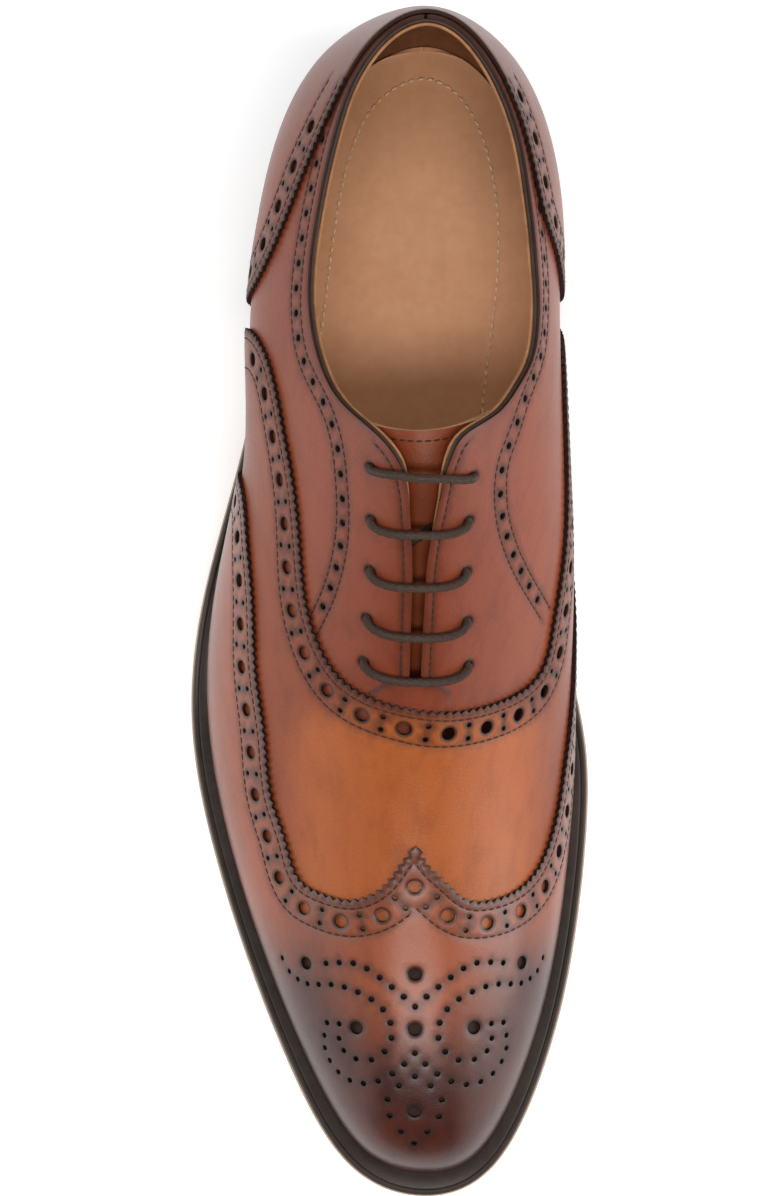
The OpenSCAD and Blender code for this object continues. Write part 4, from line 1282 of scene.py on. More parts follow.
@dataclass
class Upper:
    """The outer leathers, from the wing cap to the heel counter."""

    form: Form
    stitching: Stitching
    brogue: Brogue = field(default_factory=Brogue)
    vamp_high: float = 1.4
    wing_high: float = 2.8
    eyelets: tuple = (5.34, 5.70, 6.08, 6.46, 6.84)
    inner_shift: tuple = (0, 0, 0, .01, .08)
    wing_outer: list = field(default_factory=lambda: [
        (6.97, .02), (6.93, .12), (6.80, .22), (6.38, .32), (5.90, .39), (5.30, .43), (4.68, .47),
        (4.16, .48), (3.84, .52), (3.52, .57), (3.44, .67), (3.42, .76), (3.46, .83), (3.57, .90),
        (3.73, .955), (3.87, 1)])
    wing_inner: list = field(default_factory=lambda: [
        (-3.87, 1), (-3.72, .955), (-3.54, .87), (-3.40, .79), (-3.36, .70), (-3.38, .58), (-3.48, .46),
        (-3.66, .37), (-3.94, .30), (-4.48, .24), (-5.12, .19), (-5.8, .17), (-6.3, .15), (-6.8, .10),
        (-6.97, .02)])
    vamp_edge: list = field(default_factory=lambda: [
        (8.02, .02), (8.0, .2), (7.92, .34), (7.70, .42), (7.40, .45), (7.10, .47), (6.74, .51),
        (6.32, .55), (5.88, .59), (5.46, .66), (5.16, .76), (5.02, .88), (4.96, 1), (-4.94, .90),
        (-4.96, .77), (-5.06, .62), (-5.20, .51), (-5.44, .43), (-5.74, .41), (-6.02, .39),
        (-6.38, .36), (-6.7, .345), (-7.1, .33), (-7.5, .31), (-7.85, .25), (-8.0, .14), (-8.03, .02)])
    vamp_low: list = field(default_factory=lambda: [
        (-6.1, .02), (-5.6, .04), (-4.8, .08), (-4.0, .16), (-3.45, .28), (-3.15, .47), (-3.06, .68),
        (-3.1, .80), (-3.2, .90), (3.36, 1), (3.22, .88), (3.14, .74), (3.16, .62), (3.25, .52),
        (3.42, .43), (3.7, .38), (4.1, .35), (5.0, .305), (5.9, .21), (6.4, .02)])
    top_outer: list = field(default_factory=lambda: [
        (6.60, .958), (6.75, .945), (6.9, .91), (7.08, .83), (7.3, .715), (7.44, .672), (7.64, .642),
        (7.86, .627), (8.1, .62), (8.4, .626), (8.7, .645), (9, .669), (9.4, .7), (9.84, .716),
        (10.2, .722), (10.6, .726), (11, .73)])
    top_inner: list = field(default_factory=lambda: [
        (6.60, .958), (6.74, .962), (6.86, .95), (6.98, .925), (7.1, .84), (7.21, .745), (7.42, .665),
        (7.72, .6), (8, .597), (8.3, .61), (8.6, .613), (8.86, .617), (9.22, .625), (9.56, .66),
        (9.84, .695), (10.2, .712), (10.6, .722), (11, .73)])
    counter_outer: list = field(default_factory=lambda: [
        (8.2, .02), (8.22, .16), (8.28, .32), (8.48, .43), (8.76, .51), (9.12, .59), (9.50, .66),
        (9.86, .70)])
    counter_inner: list = field(default_factory=lambda: [
        (8.2, .02), (8.21, .15), (8.24, .29), (8.46, .42), (8.72, .54), (9.14, .595), (9.52, .64),
        (9.82, .68)])

    def __post_init__(self) -> None:
        """Draws the seams that the panels share."""
        through = lambda points: Seam.through(self.form, points)
        self.wing_sides = (through(self.wing_outer), through(self.wing_inner))
        self.vamp_line = through(self.vamp_edge)
        inner = [(-q, t) for q, t in self.top_inner]
        self.top_lines = {1: through(self.top_outer), -1: through(inner)}

    def lace_hole(self, side: int, k: int) -> np.ndarray:
        """Chart point of a lace hole; the rows are counted from the toe."""
        if side > 0:
            return self.form.to_chart(self.eyelets[k], .805)[0]
        q = self.eyelets[k] - self.inner_shift[k]
        return self.form.to_chart(-q, float(np.interp(q, [5.3, 6.8], [.765, .82])))[0]

    def foot_line(self, start: float, end: float) -> np.ndarray:
        """Chart points along the foot of the upper."""
        q = np.linspace(start, end, max(3, int(abs(end - start) * 22)))
        return self.form.to_chart(q, np.full(len(q), .02))

    def build(self) -> None:
        """Cuts, punches, lays and sews every panel."""
        self._wing()
        self._vamp()
        for side, word in ((1, "lateral"), (-1, "medial")):
            self._quarter(side, word)
        self._counter()
        self._throat_tab()

    def _wing(self) -> None:
        """Wing cap with its pinked edge, punched band and toe medallion."""
        b, crown = self.brogue, CROWN_X
        outer, inner = self.wing_sides
        teeth = [part.pinked(b.pitch, b.depth) for part in (outer, inner)]
        edge = np.vstack([teeth[0][:-2], outer.xy[-1:], teeth[1][2:]])
        outline = np.vstack([edge, self.foot_line(-6.9, 6.9)])
        rows, holes = [], []
        for part, keep in ((outer, -1), (inner, 1)):
            for offset in (b.first_row, b.second_row):
                line = part.beside(-offset)
                ok = (line.xy[:, 0] - crown) * keep > -.1
                rows.append(Seam(self.form, line.xy[ok]))
            middle = part.beside(-b.middle)
            ok = (middle.xy[:, 0] - crown) * keep > -.1
            middle = Seam(self.form, middle.xy[ok][::-keep] if keep < 0 else middle.xy[ok])
            if keep < 0:
                middle = Seam(self.form, self._towards_tail(middle, crown))
            places = middle.evenly(b.every, 0, middle.length - 12)
            if keep > 0:
                places = places[1:]
            holes += [Hole(p, b.hole) for p in middle.at(places)]
            halves = middle.evenly(b.every, b.every / 2, middle.length - 12)
            for offset in (-b.spread, b.spread):
                holes += [Hole(p, b.pin_hole) for p in middle.moved(offset, halves)]
        holes += self._medallion()
        panel = Panel(self.form, "wing_cap", outline, self.wing_high, holes=holes, grooves=rows, crisp=edge)
        panel.lay(WingTone(), Stock.WING, Stock.CUT_EDGE, replaces=("wing_cap",))
        self.stitching.sew("wing_stitches", rows, self.wing_high)

    @staticmethod
    def _towards_tail(line: Seam, crown: float) -> np.ndarray:
        """The line's points, from the crown line outwards."""
        xy = line.xy
        return xy if abs(xy[0, 0] - crown) < abs(xy[-1, 0] - crown) else xy[::-1]

    def _medallion(self) -> list[Hole]:
        """Punched pattern of the toe, drawn for one half and mirrored in the crown line."""
        b, crown, apex = self.brogue, CROWN_X, -100.0
        large = [(0, 4.4), (0, -10), (14.8, -10), (29.7, 7.2), (0, -31.6)]
        chains = [
            ([(39, 8.7), (39.1, 8.7)], 1),
            ([(23.1, 7.2), (19.2, 7.4), (15.1, 7.2), (8.7, 3.6), (2.8, -1.5), (0, -4.1)], 8),
            ([(36.5, 4.9), (31, 1.8), (22, 1.5), (13.9, -.5), (7.4, -5.4), (5.9, -13.1), (11.3, -18.5),
              (19, -15.9), (19.7, -9.2)], 17),
            ([(23.6, -9.2), (24.9, -15.9), (20.8, -22.8), (13.6, -25.1), (5.9, -22), (0, -16.2)], 11),
            ([(0, -22.3), (4.1, -24.9), (6.7, -28.7), (3.3, -37.2), (0, -40.5)], 6),
        ]
        holes = [Hole(np.array([crown + s * x, apex + y]), b.hole) for x, y in large
                 for s in ((-1, 1) if x else (1,))]
        for points, count in chains:
            points = np.array(points, float)
            knots = running(points)
            for x, y in Spline(knots, points)(np.linspace(0, knots[-1], count)):
                for s in ((-1, 1) if x > .4 else (1,)):
                    holes.append(Hole(np.array([crown + s * x, apex + y]), b.pin_hole + .1))
        return holes

    def _vamp(self) -> None:
        """Vamp with its pinked edge round the facings."""
        b, line = self.brogue, self.vamp_line
        edge = line.pinked(b.pitch, b.depth)
        low = Seam.through(self.form, self.vamp_low, 2.0).xy
        outline = np.vstack([edge, self.foot_line(-7.95, -6.15), low, self.foot_line(6.45, 7.95)])
        tail = 16.0
        middle = line.beside(-b.middle)
        half = (middle.length - 2 * tail) / 2
        count = int(half / b.every)
        holes = []
        places = middle.length / 2 + (np.arange(-count, count) + .5) * b.every
        holes += [Hole(p, b.hole) for p in middle.at(places)]
        for offset in (-b.spread, b.spread):
            holes += [Hole(p, b.pin_hole) for p in middle.moved(offset, places[:-1] + b.every / 2)]
        rows = [line.beside(-b.first_row), line.beside(-b.second_row)]
        rows = [Seam(self.form, r.xy[4:-4]) for r in rows]
        panel = Panel(self.form, "vamp", outline, self.vamp_high, holes=holes, grooves=rows, crisp=edge)
        panel.lay(VampTone(), Stock.VAMP, Stock.CUT_EDGE, replaces=("vamp",))
        self.stitching.sew("vamp_stitches", rows, self.vamp_high)

    def _quarter(self, side: int, word: str) -> None:
        """Quarter with its facing, lace holes and pierced band."""
        f = self.form
        top = self.top_lines[side]
        q = np.linspace(4.72, 6.60, 60)
        facing = f.to_chart(side * q, np.interp(q, [4.72, 5.3, 6.0, 6.6], [.978, .974, .968, .958]))
        front = [(5.6, .02), (5.3, .4), (4.85, .8), (4.72, .978)]
        front = Seam.through(f, [(side * a, share) for a, share in front], 2.0).xy
        heel = f.to_chart(np.full(20, side * 10.995), np.linspace(.725, .03, 20))
        foot = self.foot_line(side * 10.99, side * 5.65)
        outline = np.vstack([front[:-1], facing, top.xy[1:-1], heel, foot[:-1]])
        holes = [Hole(self.lace_hole(side, k), 1.25) for k in range(len(self.eyelets))]
        neck = self._neck(side)
        holes += [Hole(p, .92) for p in neck.at(neck.evenly(6.4, 3, neck.length - 5))]
        rows = [neck.beside(2.15), neck.beside(-2.15)]
        face = Seam(f, np.vstack([facing[8:-2], top.at(top.evenly(.8, 1.0, 20))]))
        rows.append(face.beside(side * 2.3))
        panel = Panel(f, f"quarter_{word}", outline, 0.0, holes=holes, grooves=rows,
                      crisp=np.vstack([top.xy, facing]), edge_stain=.35)
        panel.lay(QuarterTone(), Stock.QUARTER, Stock.CUT_EDGE, replaces=(f"quarter_{word}",))
        self.stitching.sew(f"quarter_stitches_{word}", rows, 0.0)

    def _neck(self, side: int) -> Seam:
        """Middle line of the pierced band: along the topline, then down beside the facing."""
        if side > 0:
            neck = [(10.1, .665), (9.6, .655), (9.1, .625), (8.6, .59), (8.1, .567), (7.75, .572),
                    (7.5, .605), (7.3, .645), (7.06, .675), (6.76, .692), (6.48, .70), (6.18, .69),
                    (5.82, .65), (5.56, .60)]
        else:
            neck = [(-10.1, .655), (-9.6, .615), (-9.1, .57), (-8.6, .555), (-8.1, .545), (-7.75, .555),
                    (-7.5, .595), (-7.3, .635), (-7.08, .665), (-6.82, .70), (-6.60, .69), (-6.40, .66),
                    (-6.20, .61), (-5.94, .51), (-5.80, .44)]
        return Seam.through(self.form, neck)

    def _counter(self) -> None:
        """Cover of the heel counter, from one side round the heel to the other."""
        f, b = self.form, self.brogue
        outer = Seam.through(f, self.counter_outer)
        inner = Seam.through(f, [(-q, t) for q, t in self.counter_inner[::-1]])
        top_q = np.linspace(9.9, 12.1, 60)
        top_t = np.interp(top_q, [9.9, 10.2, 10.6, 11, 11.4, 11.8, 12.1],
                          [.704, .708, .712, .717, .709, .698, .685])
        edges = [outer.pinked(b.pitch, b.depth), inner.pinked(b.pitch, b.depth)]
        outline = np.vstack([edges[0], f.to_chart(top_q, top_t), edges[1], self.foot_line(13.75, 8.25)])
        rows, holes = [], []
        for part in (outer, inner):
            rows += [part.beside(b.first_row), part.beside(b.second_row)]
            holes += b.band(part, 1, 13 if part is outer else 6, part.length - (6 if part is outer else 13))
        panel = Panel(f, "counter_cover", outline, self.vamp_high, holes=holes, grooves=rows,
                      crisp=np.vstack(edges), spacing=1.6)
        panel.lay(QuarterTone(), Stock.QUARTER, Stock.CUT_EDGE, replaces=("counter_cover",))
        self.stitching.sew("counter_stitches", rows, self.vamp_high)

    def _throat_tab(self) -> None:
        """Crescent that closes the foot of the lacing gap."""
        arc = Seam.through(self.form, [(5.09, .83), (5.16, .88), (5.205, .94), (5.21, .985), (-5.20, .945),
                                       (-5.17, .89), (-5.11, .84)], .6)
        base = Seam.through(self.form, [(-4.98, .84), (-4.86, .92), (4.83, .985), (4.86, .92), (4.97, .84)],
                            1.0)
        outline = np.vstack([arc.xy, base.xy])
        panel = Panel(self.form, "throat_tab", outline, .38, .36, crisp=arc.xy, spacing=1.0, edge_stain=.8)
        panel.lay(QuarterTone(), Stock.QUARTER, Stock.CUT_EDGE, replaces=("throat_tab",))


# ------------------------------------------------------------------ lining, tongue and lace
def slab(form: Form, q: np.ndarray, t: np.ndarray, high: np.ndarray | float, thickness: float,
         overhang: float = .25) -> bmesh.types.BMesh:
    """Sheet of even thickness with a rounded upper edge, laid under the form's surface.

    Args:
        form: the last.
        q: ring positions, shaped (columns, rows up the section).
        t: shares, of the same shape.
        high: height of the outer face, one for all or one for each point.
        thickness: in millimetres.
        overhang: how far the upper edge stands above the last row.

    Returns:
        A closed bmesh; faces of the upper edge have material number 1.
    """
    n, m = q.shape
    high = np.broadcast_to(high, q.shape)
    outer = form.layer(q.ravel(), t.ravel(), high.ravel()).reshape(n, m, 3)
    inner = form.layer(q.ravel(), t.ravel(), (high - thickness).ravel()).reshape(n, m, 3)
    lift = unit(outer[:, -1] - outer[:, -2]) * overhang
    crest = [outer[:, -1] * (1 - f) + inner[:, -1] * f + lift * k
             for f, k in ((.15, .7), (.5, 1), (.85, .7))]
    rows = np.concatenate([outer, np.stack(crest, axis=1), inner[:, ::-1]], axis=1)
    bm = grid_of(rows, ring=True, caps=True)
    tops = np.concatenate([outer[:, -1], inner[:, -1], *crest]) * MM
    tree = KDTree(len(tops))
    for k, co in enumerate(tops.tolist()):
        tree.insert(co, k)
    tree.balance()
    for face in bm.faces:
        close = all(tree.find(v.co)[2] < 2e-5 for v in face.verts)
        face.material_index = 1 if close else 0
    soften(bm, 50)
    return bm


@dataclass
class Opening:
    """Linings, stiffening and the dark beading round the foot opening."""

    upper: Upper
    lining: float = .8
    lining_depth: float = 2.1
    beading: float = .50

    def top_share(self, q: np.ndarray) -> np.ndarray:
        """Share of the section at the topline, for signed ring positions."""
        form, out = self.upper.form, np.full(np.shape(q), .955)
        for side in (1, -1):
            at, share = form.from_chart(self.upper.top_lines[side].xy)
            at = np.abs(signed(at))
            order = np.argsort(at)
            mine = (np.asarray(q) >= 0) == (side > 0)
            value = np.interp(np.abs(q), at[order], share[order])
            out = np.where(mine & (np.abs(q) > 6.62), value, out)
        return out

    def depth(self, q: np.ndarray, t: np.ndarray, top: np.ndarray) -> np.ndarray:
        """Height of the lining's outer face: deeper over the stiffener."""
        side = np.abs(signed(q))
        fall = .35 * smooth((top - t) / .1) + .45 * smooth((side - 7.6) / .7) * smooth((top - t) / .12)
        return -self.lining_depth - fall

    def build(self) -> None:
        """Makes the linings first, then what lies between the layers."""
        form = self.upper.form
        for side, word in ((1, "lateral"), (-1, "medial")):
            v = np.linspace(0, 1, 60)
            foot = side * np.interp(v, [0, .25, .5, .75, 1], [5.66, 6.3, 7.0, 7.75, 8.62])
            head = side * np.interp(v, [0, .25, .5, .75, 1], [4.78, 5.8, 6.8, 7.5, 8.62])
            self._lining(f"quarter_lining_{word}", foot, head, Stock.LINING)
            stay_q = side * np.linspace(4.95, 6.98, 40)
            top = self.top_share(stay_q) - .025
            q, t = self._mesh(stay_q, stay_q, np.full(40, .71), top, 8)
            piece(f"facing_stay_{word}", slab(form, q, t, -1.4, .3, .02), Stock.STAY,
                  replaces=(f"facing_stay_{word}",))
        heel = np.linspace(8.623, 13.377, 90)
        self._lining("heel_lining", heel, heel, Stock.HEEL_LINING)
        q = np.linspace(8.55, 13.45, 60)
        head = .50 + .08 * np.sin((q - 8.55) / 4.9 * math.pi)
        q, t = self._mesh(q, q, np.full(60, .02), head, 10)
        piece("heel_stiffener", slab(form, q, t, -1.4, .9, .02), Stock.STIFFENING,
              replaces=("heel_stiffener",))
        self._beading()
        # the toe puff takes the dark painted-shade finish, seen through the medallion holes
        self._inner_sheet("toe_puff", 3.0, 60, [(2.95, .30), (2.9, .6), (2.85, .9), (2.9, 1)],
                          (1.25, 1.1, 2.6), WingTone(), Stock.UNDERLAY)
        self._inner_sheet("vamp_lining", 5.1, 80, [(5.0, .3), (4.8, .6), (4.6, .85), (4.5, 1)],
                          (-.4, self.lining, 3), VampTone(), Stock.LINING)

    def _inner_sheet(self, name: str, reach: float, count: int, back: list[Pair], sizes: tuple,
                     tone: Tone, stock: Stock) -> None:
        """Sheet under the forepart that ends in a line mirrored from side to side.

        Args:
            name: the piece's and the node's name.
            reach: how far round the foot it goes.
            count: points along the foot.
            back: (q, t) pairs of its back edge, from the outer foot to the crown line.
            sizes: height above the form, thickness and mesh spacing.
            tone: how its colour is worked.
            stock: finish.
        """
        form = self.upper.form
        line = Seam.through(form, back + [(-q, t) for q, t in back[-2::-1]], 2)
        foot = form.to_chart(np.linspace(-reach, reach, count), np.full(count, .03))
        panel = Panel(form, name, np.vstack([foot, line.xy]), sizes[0], sizes[1], spacing=sizes[2])
        panel.lay(tone, stock, replaces=(name,))

    @staticmethod
    def _mesh(foot: np.ndarray, head: np.ndarray, low: np.ndarray, high: np.ndarray,
              rows: int) -> tuple[np.ndarray, np.ndarray]:
        """Ring positions and shares of a sheet between its foot and its head."""
        v = np.linspace(0, 1, rows + 1)[None]
        q = foot[:, None] + (head - foot)[:, None] * v
        return q, low[:, None] + (high - low)[:, None] * v

    def _lining(self, name: str, foot: np.ndarray, head: np.ndarray, stock: Stock) -> None:
        """One lining sheet from the insole to the topline."""
        at = signed(head)
        top = self.top_share(at) - .018 * smooth((6.9 - np.abs(at)) / .25)
        q, t = self._mesh(foot, head, np.full(len(foot), .02), top, 26)
        high = self.depth(q, t, top[:, None])
        piece(name, slab(self.upper.form, q, t, high, self.lining, .45), stock, Stock.LINING_EDGE,
              replaces=(name,))

    def _beading(self) -> None:
        """Thin rolled strip between the quarters and the lining."""
        form = self.upper.form
        outer, inner = self.upper.top_lines[1], self.upper.top_lines[-1]
        path = []
        for line, sign in ((outer, 1), (inner, -1)):
            s = line.evenly(1.2, 6.0)
            q, t = form.from_chart(line.moved(sign * .35, s))
            path.append(form.layer(q, t, -1.55))
        path = np.vstack([path[0], path[1][::-1]])
        gap = np.linalg.norm(np.diff(path, axis=0), axis=1)
        path = path[np.concatenate([[True], gap > .3])]
        bm = grid_of(tube(path, self.beading, 10), ring=True, caps=True)
        soften(bm, 60)
        piece("topline_beading", bm, Stock.BEADING, replaces=("topline_beading",))


@dataclass
class Tongue:
    """Tongue and its lining."""

    form: Form
    stitching: Stitching
    depth: float = 6.9
    thickness: float = 1.2
    lining: float = .8
    root: float = 5.02
    top_middle: float = 7.10
    top_rise: float = .12

    def surface(self, a: np.ndarray, v: np.ndarray, depth: float) -> np.ndarray:
        """Points of the tongue.

        Args:
            a: places across, -1 on the inner and 1 on the outer side.
            v: places along, 0 at the root and 1 at the top.
            depth: below the facings.

        Returns:
            Points, one a row.
        """
        q = self.root + (self.top_middle + self.top_rise * np.abs(a) ** 2.2 - self.root) * v
        share = np.interp(q, [5.02, 5.6, 6.4, 6.8, 7.0, 7.25], [.90, .855, .80, .765, .72, .66])
        hug = depth - 2.9 * smooth((q - 6.6) / .5)
        left = self.form.layer(q, share, -hug)
        right = self.form.layer(-q, share, -hug)
        _, crown, _, _ = self.form.lean(q)
        z = self.form._crown(crown[:, 1])[:, 0] - depth - .6
        middle = np.column_stack([crown, z])
        knee = 2 * middle - (left + right) / 2
        s = ((1 - a) / 2)[:, None]
        return left * (1 - s) ** 2 + 2 * s * (1 - s) * knee + right * s * s

    def build(self) -> None:
        """Makes the leather, its lining and the row of stitches under the top edge."""
        for name, depth, thick, stocks in (
                ("tongue", self.depth, self.thickness, (Stock.TONGUE, Stock.RAW_EDGE)),
                ("tongue_lining", self.depth + self.thickness + .5, self.lining,
                 (Stock.LINING, Stock.RAW_EDGE))):
            a, v = np.meshgrid(np.linspace(-1, 1, 45), np.linspace(-.07, 1, 56), indexing="ij")
            top = self.surface(a.ravel(), v.ravel(), depth).reshape(45, 56, 3)
            bm = grid_of(top)
            if sum(f.normal.z for f in bm.faces) < 0:
                bmesh.ops.reverse_faces(bm, faces=bm.faces)
            thicken(bm, thick)
            soften(bm, 50)
            lip = np.array([0, self.surface(np.zeros(1), np.ones(1), depth)[0, 1] * MM - .0006])
            for face in bm.faces:
                if abs(face.normal.y) > .55 and face.calc_center_median().y > lip[1]:
                    face.material_index = 1
            self._hinge(piece(name, bm, *stocks, body=None, replaces=(name,)))
        a = np.linspace(-.97, .97, 400)
        path = self.surface(a, np.full(400, .965), self.depth - .05)
        row = self.stitching.along("tongue_stitches", path, (.5, 2), self.stitching.length, 0, (0, -.3, 1),
                                   Stock.STITCH, None)
        self._hinge(row)

    def _hinge(self, obj: bpy.types.Object) -> None:
        """Bakes the piece's placement into its mesh."""
        y = self.surface(np.zeros(1), np.zeros(1), self.depth)[0, 1] * MM
        y + .0005
        y + .012
        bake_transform(obj)


@dataclass
class Lacing:
    """Round waxed lace: five bars over the facings and the hidden runs between the rows."""

    upper: Upper
    radius: float = 1.1
    run_depth: float = 5.1
    sag: tuple = (4.0, 3.9, 3.7, 3.4, 1.4)
    strands: int = 8
    sides: int = 20
    step: float = .33
    lay_length: float = 2.4       # along the lace, for one turn of a strand

    def _round(self, name: str, points: np.ndarray, replaces: tuple[str, ...] = ()) -> None:
        """One braided length of lace through the given points."""
        knots = running(points)
        n = int(knots[-1] / self.step)
        path = Spline(knots, points)(np.linspace(0, knots[-1], n))
        i, k = np.arange(n)[:, None], np.arange(self.sides)[None]
        turn = 2 * math.pi * k / self.sides
        along = i * self.step * 2 * math.pi / self.lay_length
        braid = np.maximum(np.cos(self.strands / 2 * turn + along), np.cos(self.strands / 2 * turn - along))
        bm = grid_of(tube(path, self.radius * (.93 + .08 * braid), self.sides), ring=True, caps=True)
        soften(bm, 70)
        piece(name, bm, Stock.LACE, replaces=replaces)

    def build(self) -> None:
        """Makes the bars, the runs between the rows and the crossing."""
        form = self.upper.form
        for k, sag in enumerate(self.sag):
            a, b = self.upper.lace_hole(1, k), self.upper.lace_hole(-1, k)
            f = np.array([0, 0, .0, .035, .10, .20, .35, .5, .65, .80, .90, .965, 1, 1, 1])
            rise = [-4.9, -2.6, -.5, 1.0, 1.6, 1.75, 1.85]
            h = np.array([*rise, 1.9, *rise[::-1]])
            xy = a + (b - a) * f[:, None]
            xy[:, 1] -= sag * (1 - np.abs(2 * f - 1) ** 3.0)
            self._round(f"lace_bar_{k + 1}", form.on(xy, h), ("lace",) if k == 0 else ())
        runs = [(1, 0, 1, 1), (-1, 0, 2, -1), (1, 3, 4, 1)]
        for n, (side, k, m, end) in enumerate(runs):
            a, b = self.upper.lace_hole(side, k), self.upper.lace_hole(end, m)
            f = np.linspace(0, 1, 7)
            xy = a + (b - a) * f[:, None]
            xy[:, 0] -= side * 5 * 4 * f * (1 - f)
            self._round(f"lace_run_{n + 1}", form.on(xy, -self.run_depth))
        f = np.linspace(0, 1, 9)
        a, b = self.upper.lace_hole(1, 2), self.upper.lace_hole(-1, 3)
        xy = a + (b - a) * f[:, None]
        self._round("lace_crossing", form.on(xy, -self.run_depth))


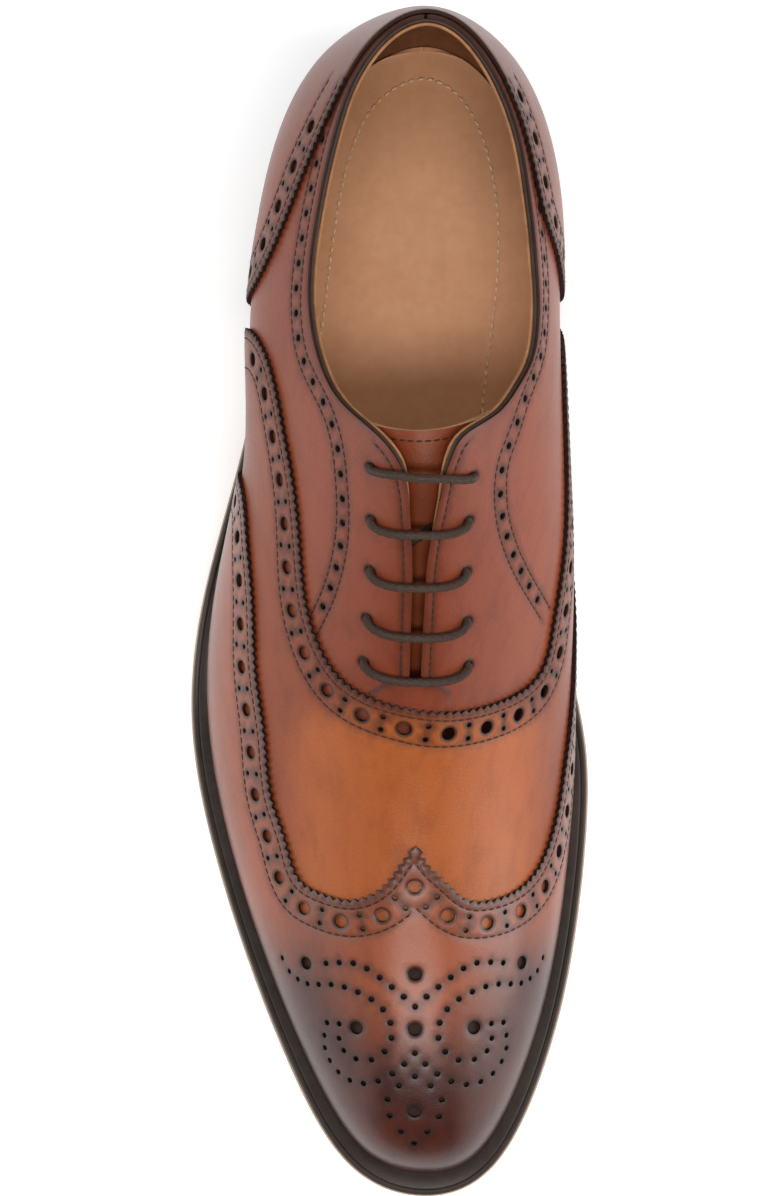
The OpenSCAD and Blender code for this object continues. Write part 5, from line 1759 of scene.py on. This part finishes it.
# ------------------------------------------------------------------ bottom of the shoe
@dataclass
class Bottom:
    """Outsole, welt, sock and the hidden pieces of the bottom."""

    form: Form
    stitching: Stitching
    sole: float = 4.2
    welt_low: float = 4.6
    welt_high: float = 7.8
    sock_top: float = 14.0
    waist_fill: float = 3.4
    lip: float = .45

    def _across(self, inset: np.ndarray, height: float, q: np.ndarray, columns: int,
                dish: float) -> np.ndarray:
        """Rows of points from the outer to the inner edge of a sheet that follows the sole.

        Args:
            inset: distance from the upper's foot to the sheet's edge, for each ring position.
            height: above the sole's underside.
            q: ring positions of the rows.
            columns: points in a row.
            dish: how far the edges stand above the middle.

        Returns:
            Array shaped (rows, columns, 3).
        """
        foot = self.form.foot_inset(q)
        left = self.form.edge(q, inset + foot)
        right = self.form.edge(-q, inset + foot)
        waist = self.waist_fill * np.exp(-((right[:, 1] - 70) / 24) ** 2)
        right = self.form.edge(-q, inset + foot - waist)
        v = np.linspace(0, 1, columns)[None, :, None]
        flat = left[:, None] * (1 - v) + right[:, None] * v
        lift = height + dish * np.abs(2 * v[..., 0] - 1) ** 4
        z = self.form.under(flat[..., 1]) + lift
        return np.dstack([flat, z])

    def build(self) -> None:
        """Makes each piece of the bottom."""
        self._outsole()
        self._welt()
        self._sock()
        for node, stock in (("cork_filler", Stock.CORK), ("shank", Stock.SHANK),
                            ("insole_board", Stock.BOARD), ("sock_cushion", Stock.FOAM)):
            dress_node(node, stock)

    def _ring(self, profile: list[tuple[float, float]], from_foot: list[bool]) -> np.ndarray:
        """Profile points (inset, height) swept round the sole; an inset may count from the upper's foot."""
        q = np.linspace(0, RING, 420, endpoint=False)
        foot = self.form.foot_inset(q)
        rows = []
        for (inset, height), counted in zip(profile, from_foot):
            flat = self.form.edge(q, inset + foot * counted)
            rows.append(np.column_stack([flat, self.form.under(flat[:, 1]) + height]))
        return np.stack(rows, axis=1)

    def _outsole(self) -> None:
        """Leather outsole with a thin bare line at its lower corner."""
        lip = self.lip
        profile = [(1.1, 0), (.2 - lip, 0), (-lip, .25), (-lip, .75), (.10, 1.05), (.0, 2.2), (.1, 3.6),
                   (.5, self.sole)]
        rim = self._ring(profile, [False] * len(profile))
        bm = grid_of(rim, loop=True)
        bottom_edge = [e for e in bm.edges if e.is_boundary]
        bmesh.ops.holes_fill(bm, edges=bottom_edge, sides=0)
        big = [f for f in bm.faces if len(f.verts) > 8]
        bmesh.ops.triangulate(bm, faces=big, quad_method="BEAUTY", ngon_method="BEAUTY")
        bmesh.ops.recalc_face_normals(bm, faces=bm.faces)
        for face in bm.faces:
            c = np.array(face.calc_center_median()) / MM
            rise = c[2] - float(self.form.under(np.array([c[1]]))[0])
            flat = face.normal.z < -.9
            face.material_index = 2 if flat else (1 if rise < .95 and c[1] < 76 else 0)
        soften(bm, 34)
        piece("outsole", bm, Stock.SOLE_EDGE, Stock.SOLE_LINE, Stock.SOLE_FACE, replaces=("outsole",))

    def _welt(self) -> None:
        """Polished welt with a ridge near its edge and a groove at the upper."""
        low, high = self.welt_low, self.welt_high
        profile = [(.75, low), (.40, low + .35), (.28, low + 1.4), (.35, high - .6), (.8, high - .08),
                   (1.5, high + .02), (1.9, high - .22), (2.3, high - .02), (-2.2, high), (-1.5, high - .1),
                   (-1.0, high - .75), (-.4, high - .55), (2.0, high), (2.0, low)]
        rim = self._ring(profile, [False] * 8 + [True] * 6)
        bm = grid_of(rim, ring=True, loop=True)
        soften(bm, 40)
        piece("welt", bm, Stock.WELT, replaces=("welt",))

    def _sock(self) -> None:
        """Sock lining with its sewn line round the heel."""
        q = np.concatenate([np.linspace(.55, 9, 70), 11 - 2 * np.linspace(1, .02, 40) ** 1.6])
        inset = 4.9 - 1.2 * smooth((q - 6) / 1.5) - .8 * smooth((q - 8.6) / .8) * smooth((10.9 - q) / .5)
        top = self._across(inset, self.sock_top, q, 33, .4)
        bm = grid_of(top)
        if sum(f.normal.z for f in bm.faces) < 0:
            bmesh.ops.reverse_faces(bm, faces=bm.faces)
        thicken(bm, 1.0)
        soften(bm)
        piece("sock_lining", bm, Stock.SOCK, replaces=("sock_lining",))
        at = np.linspace(7.1, 14.9, 900)
        flat = self.form.edge(at, self.form.foot_inset(at) + 11.2)
        path = np.column_stack([flat, self.form.under(flat[:, 1]) + self.sock_top + .30])
        thread = Stitching(self.form, pitch=2.5, width=.85, rise=.55)
        thread.along("sock_stitches", path, (0, 3), 1.9, .12, (0, 0, 1), Stock.PALE_STITCH, SHOE)


def dress_node(node: str, stock: Stock) -> None:
    """Gives a frame node that stays its material."""
    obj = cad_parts[node]
    obj.data.materials.clear()
    obj.data.materials.append(stock.dress())
    log.info("node %s: %s", node, stock.value.name)


def from_node(node: str, stock: Stock, bevel: float) -> bpy.types.Object:
    """A welded copy of a node with softened corners.

    Args:
        node: the node it stands for.
        stock: its finish.
        bevel: width of the corners, in millimetres.

    Returns:
        The object.
    """
    bm = bmesh.new()
    bm.from_mesh(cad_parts[node].data)
    bmesh.ops.remove_doubles(bm, verts=bm.verts, dist=1e-6)
    bmesh.ops.dissolve_limit(bm, angle_limit=math.radians(1), verts=bm.verts, edges=bm.edges)
    sharp = [e for e in bm.edges if len(e.link_faces) == 2 and e.calc_face_angle(0) > math.radians(50)]
    if bevel:
        bmesh.ops.bevel(bm, geom=sharp, offset=bevel * MM, offset_type="OFFSET", segments=2, profile=.5,
                        affect="EDGES", material=-1, clamp_overlap=True)
    soften(bm)
    return piece(node, bm, stock, replaces=(node,))


@dataclass
class Heel:
    """Stacked heel: three lifts and a top piece of leather and rubber with brass pins."""

    bevel: float = .32

    def build(self) -> None:
        """Makes the stack from its frame nodes."""
        for node in ("heel_lift_1", "heel_lift_2", "heel_lift_3", "top_piece_leather"):
            from_node(node, Stock.HEEL, 0)
        from_node("top_piece_rubber", Stock.RUBBER, self.bevel)
        dress_node("heel_nails", Stock.NAIL)
        dress_node("top_piece_pins", Stock.PIN)


def main() -> None:
    """Builds the shoe."""
    logging.basicConfig(level=logging.INFO, format="%(message)s")
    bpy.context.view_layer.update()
    Studio().build()
    form = Form()
    stitching = Stitching(form)
    upper = Upper(form, stitching)
    Lacing(upper).build()
    upper.build()
    Opening(upper).build()
    Tongue(form, stitching).build()
    Bottom(form, stitching).build()
    Heel().build()
    dress_node("aglets", Stock.TIP)


if __name__ == "__main__":
    main()
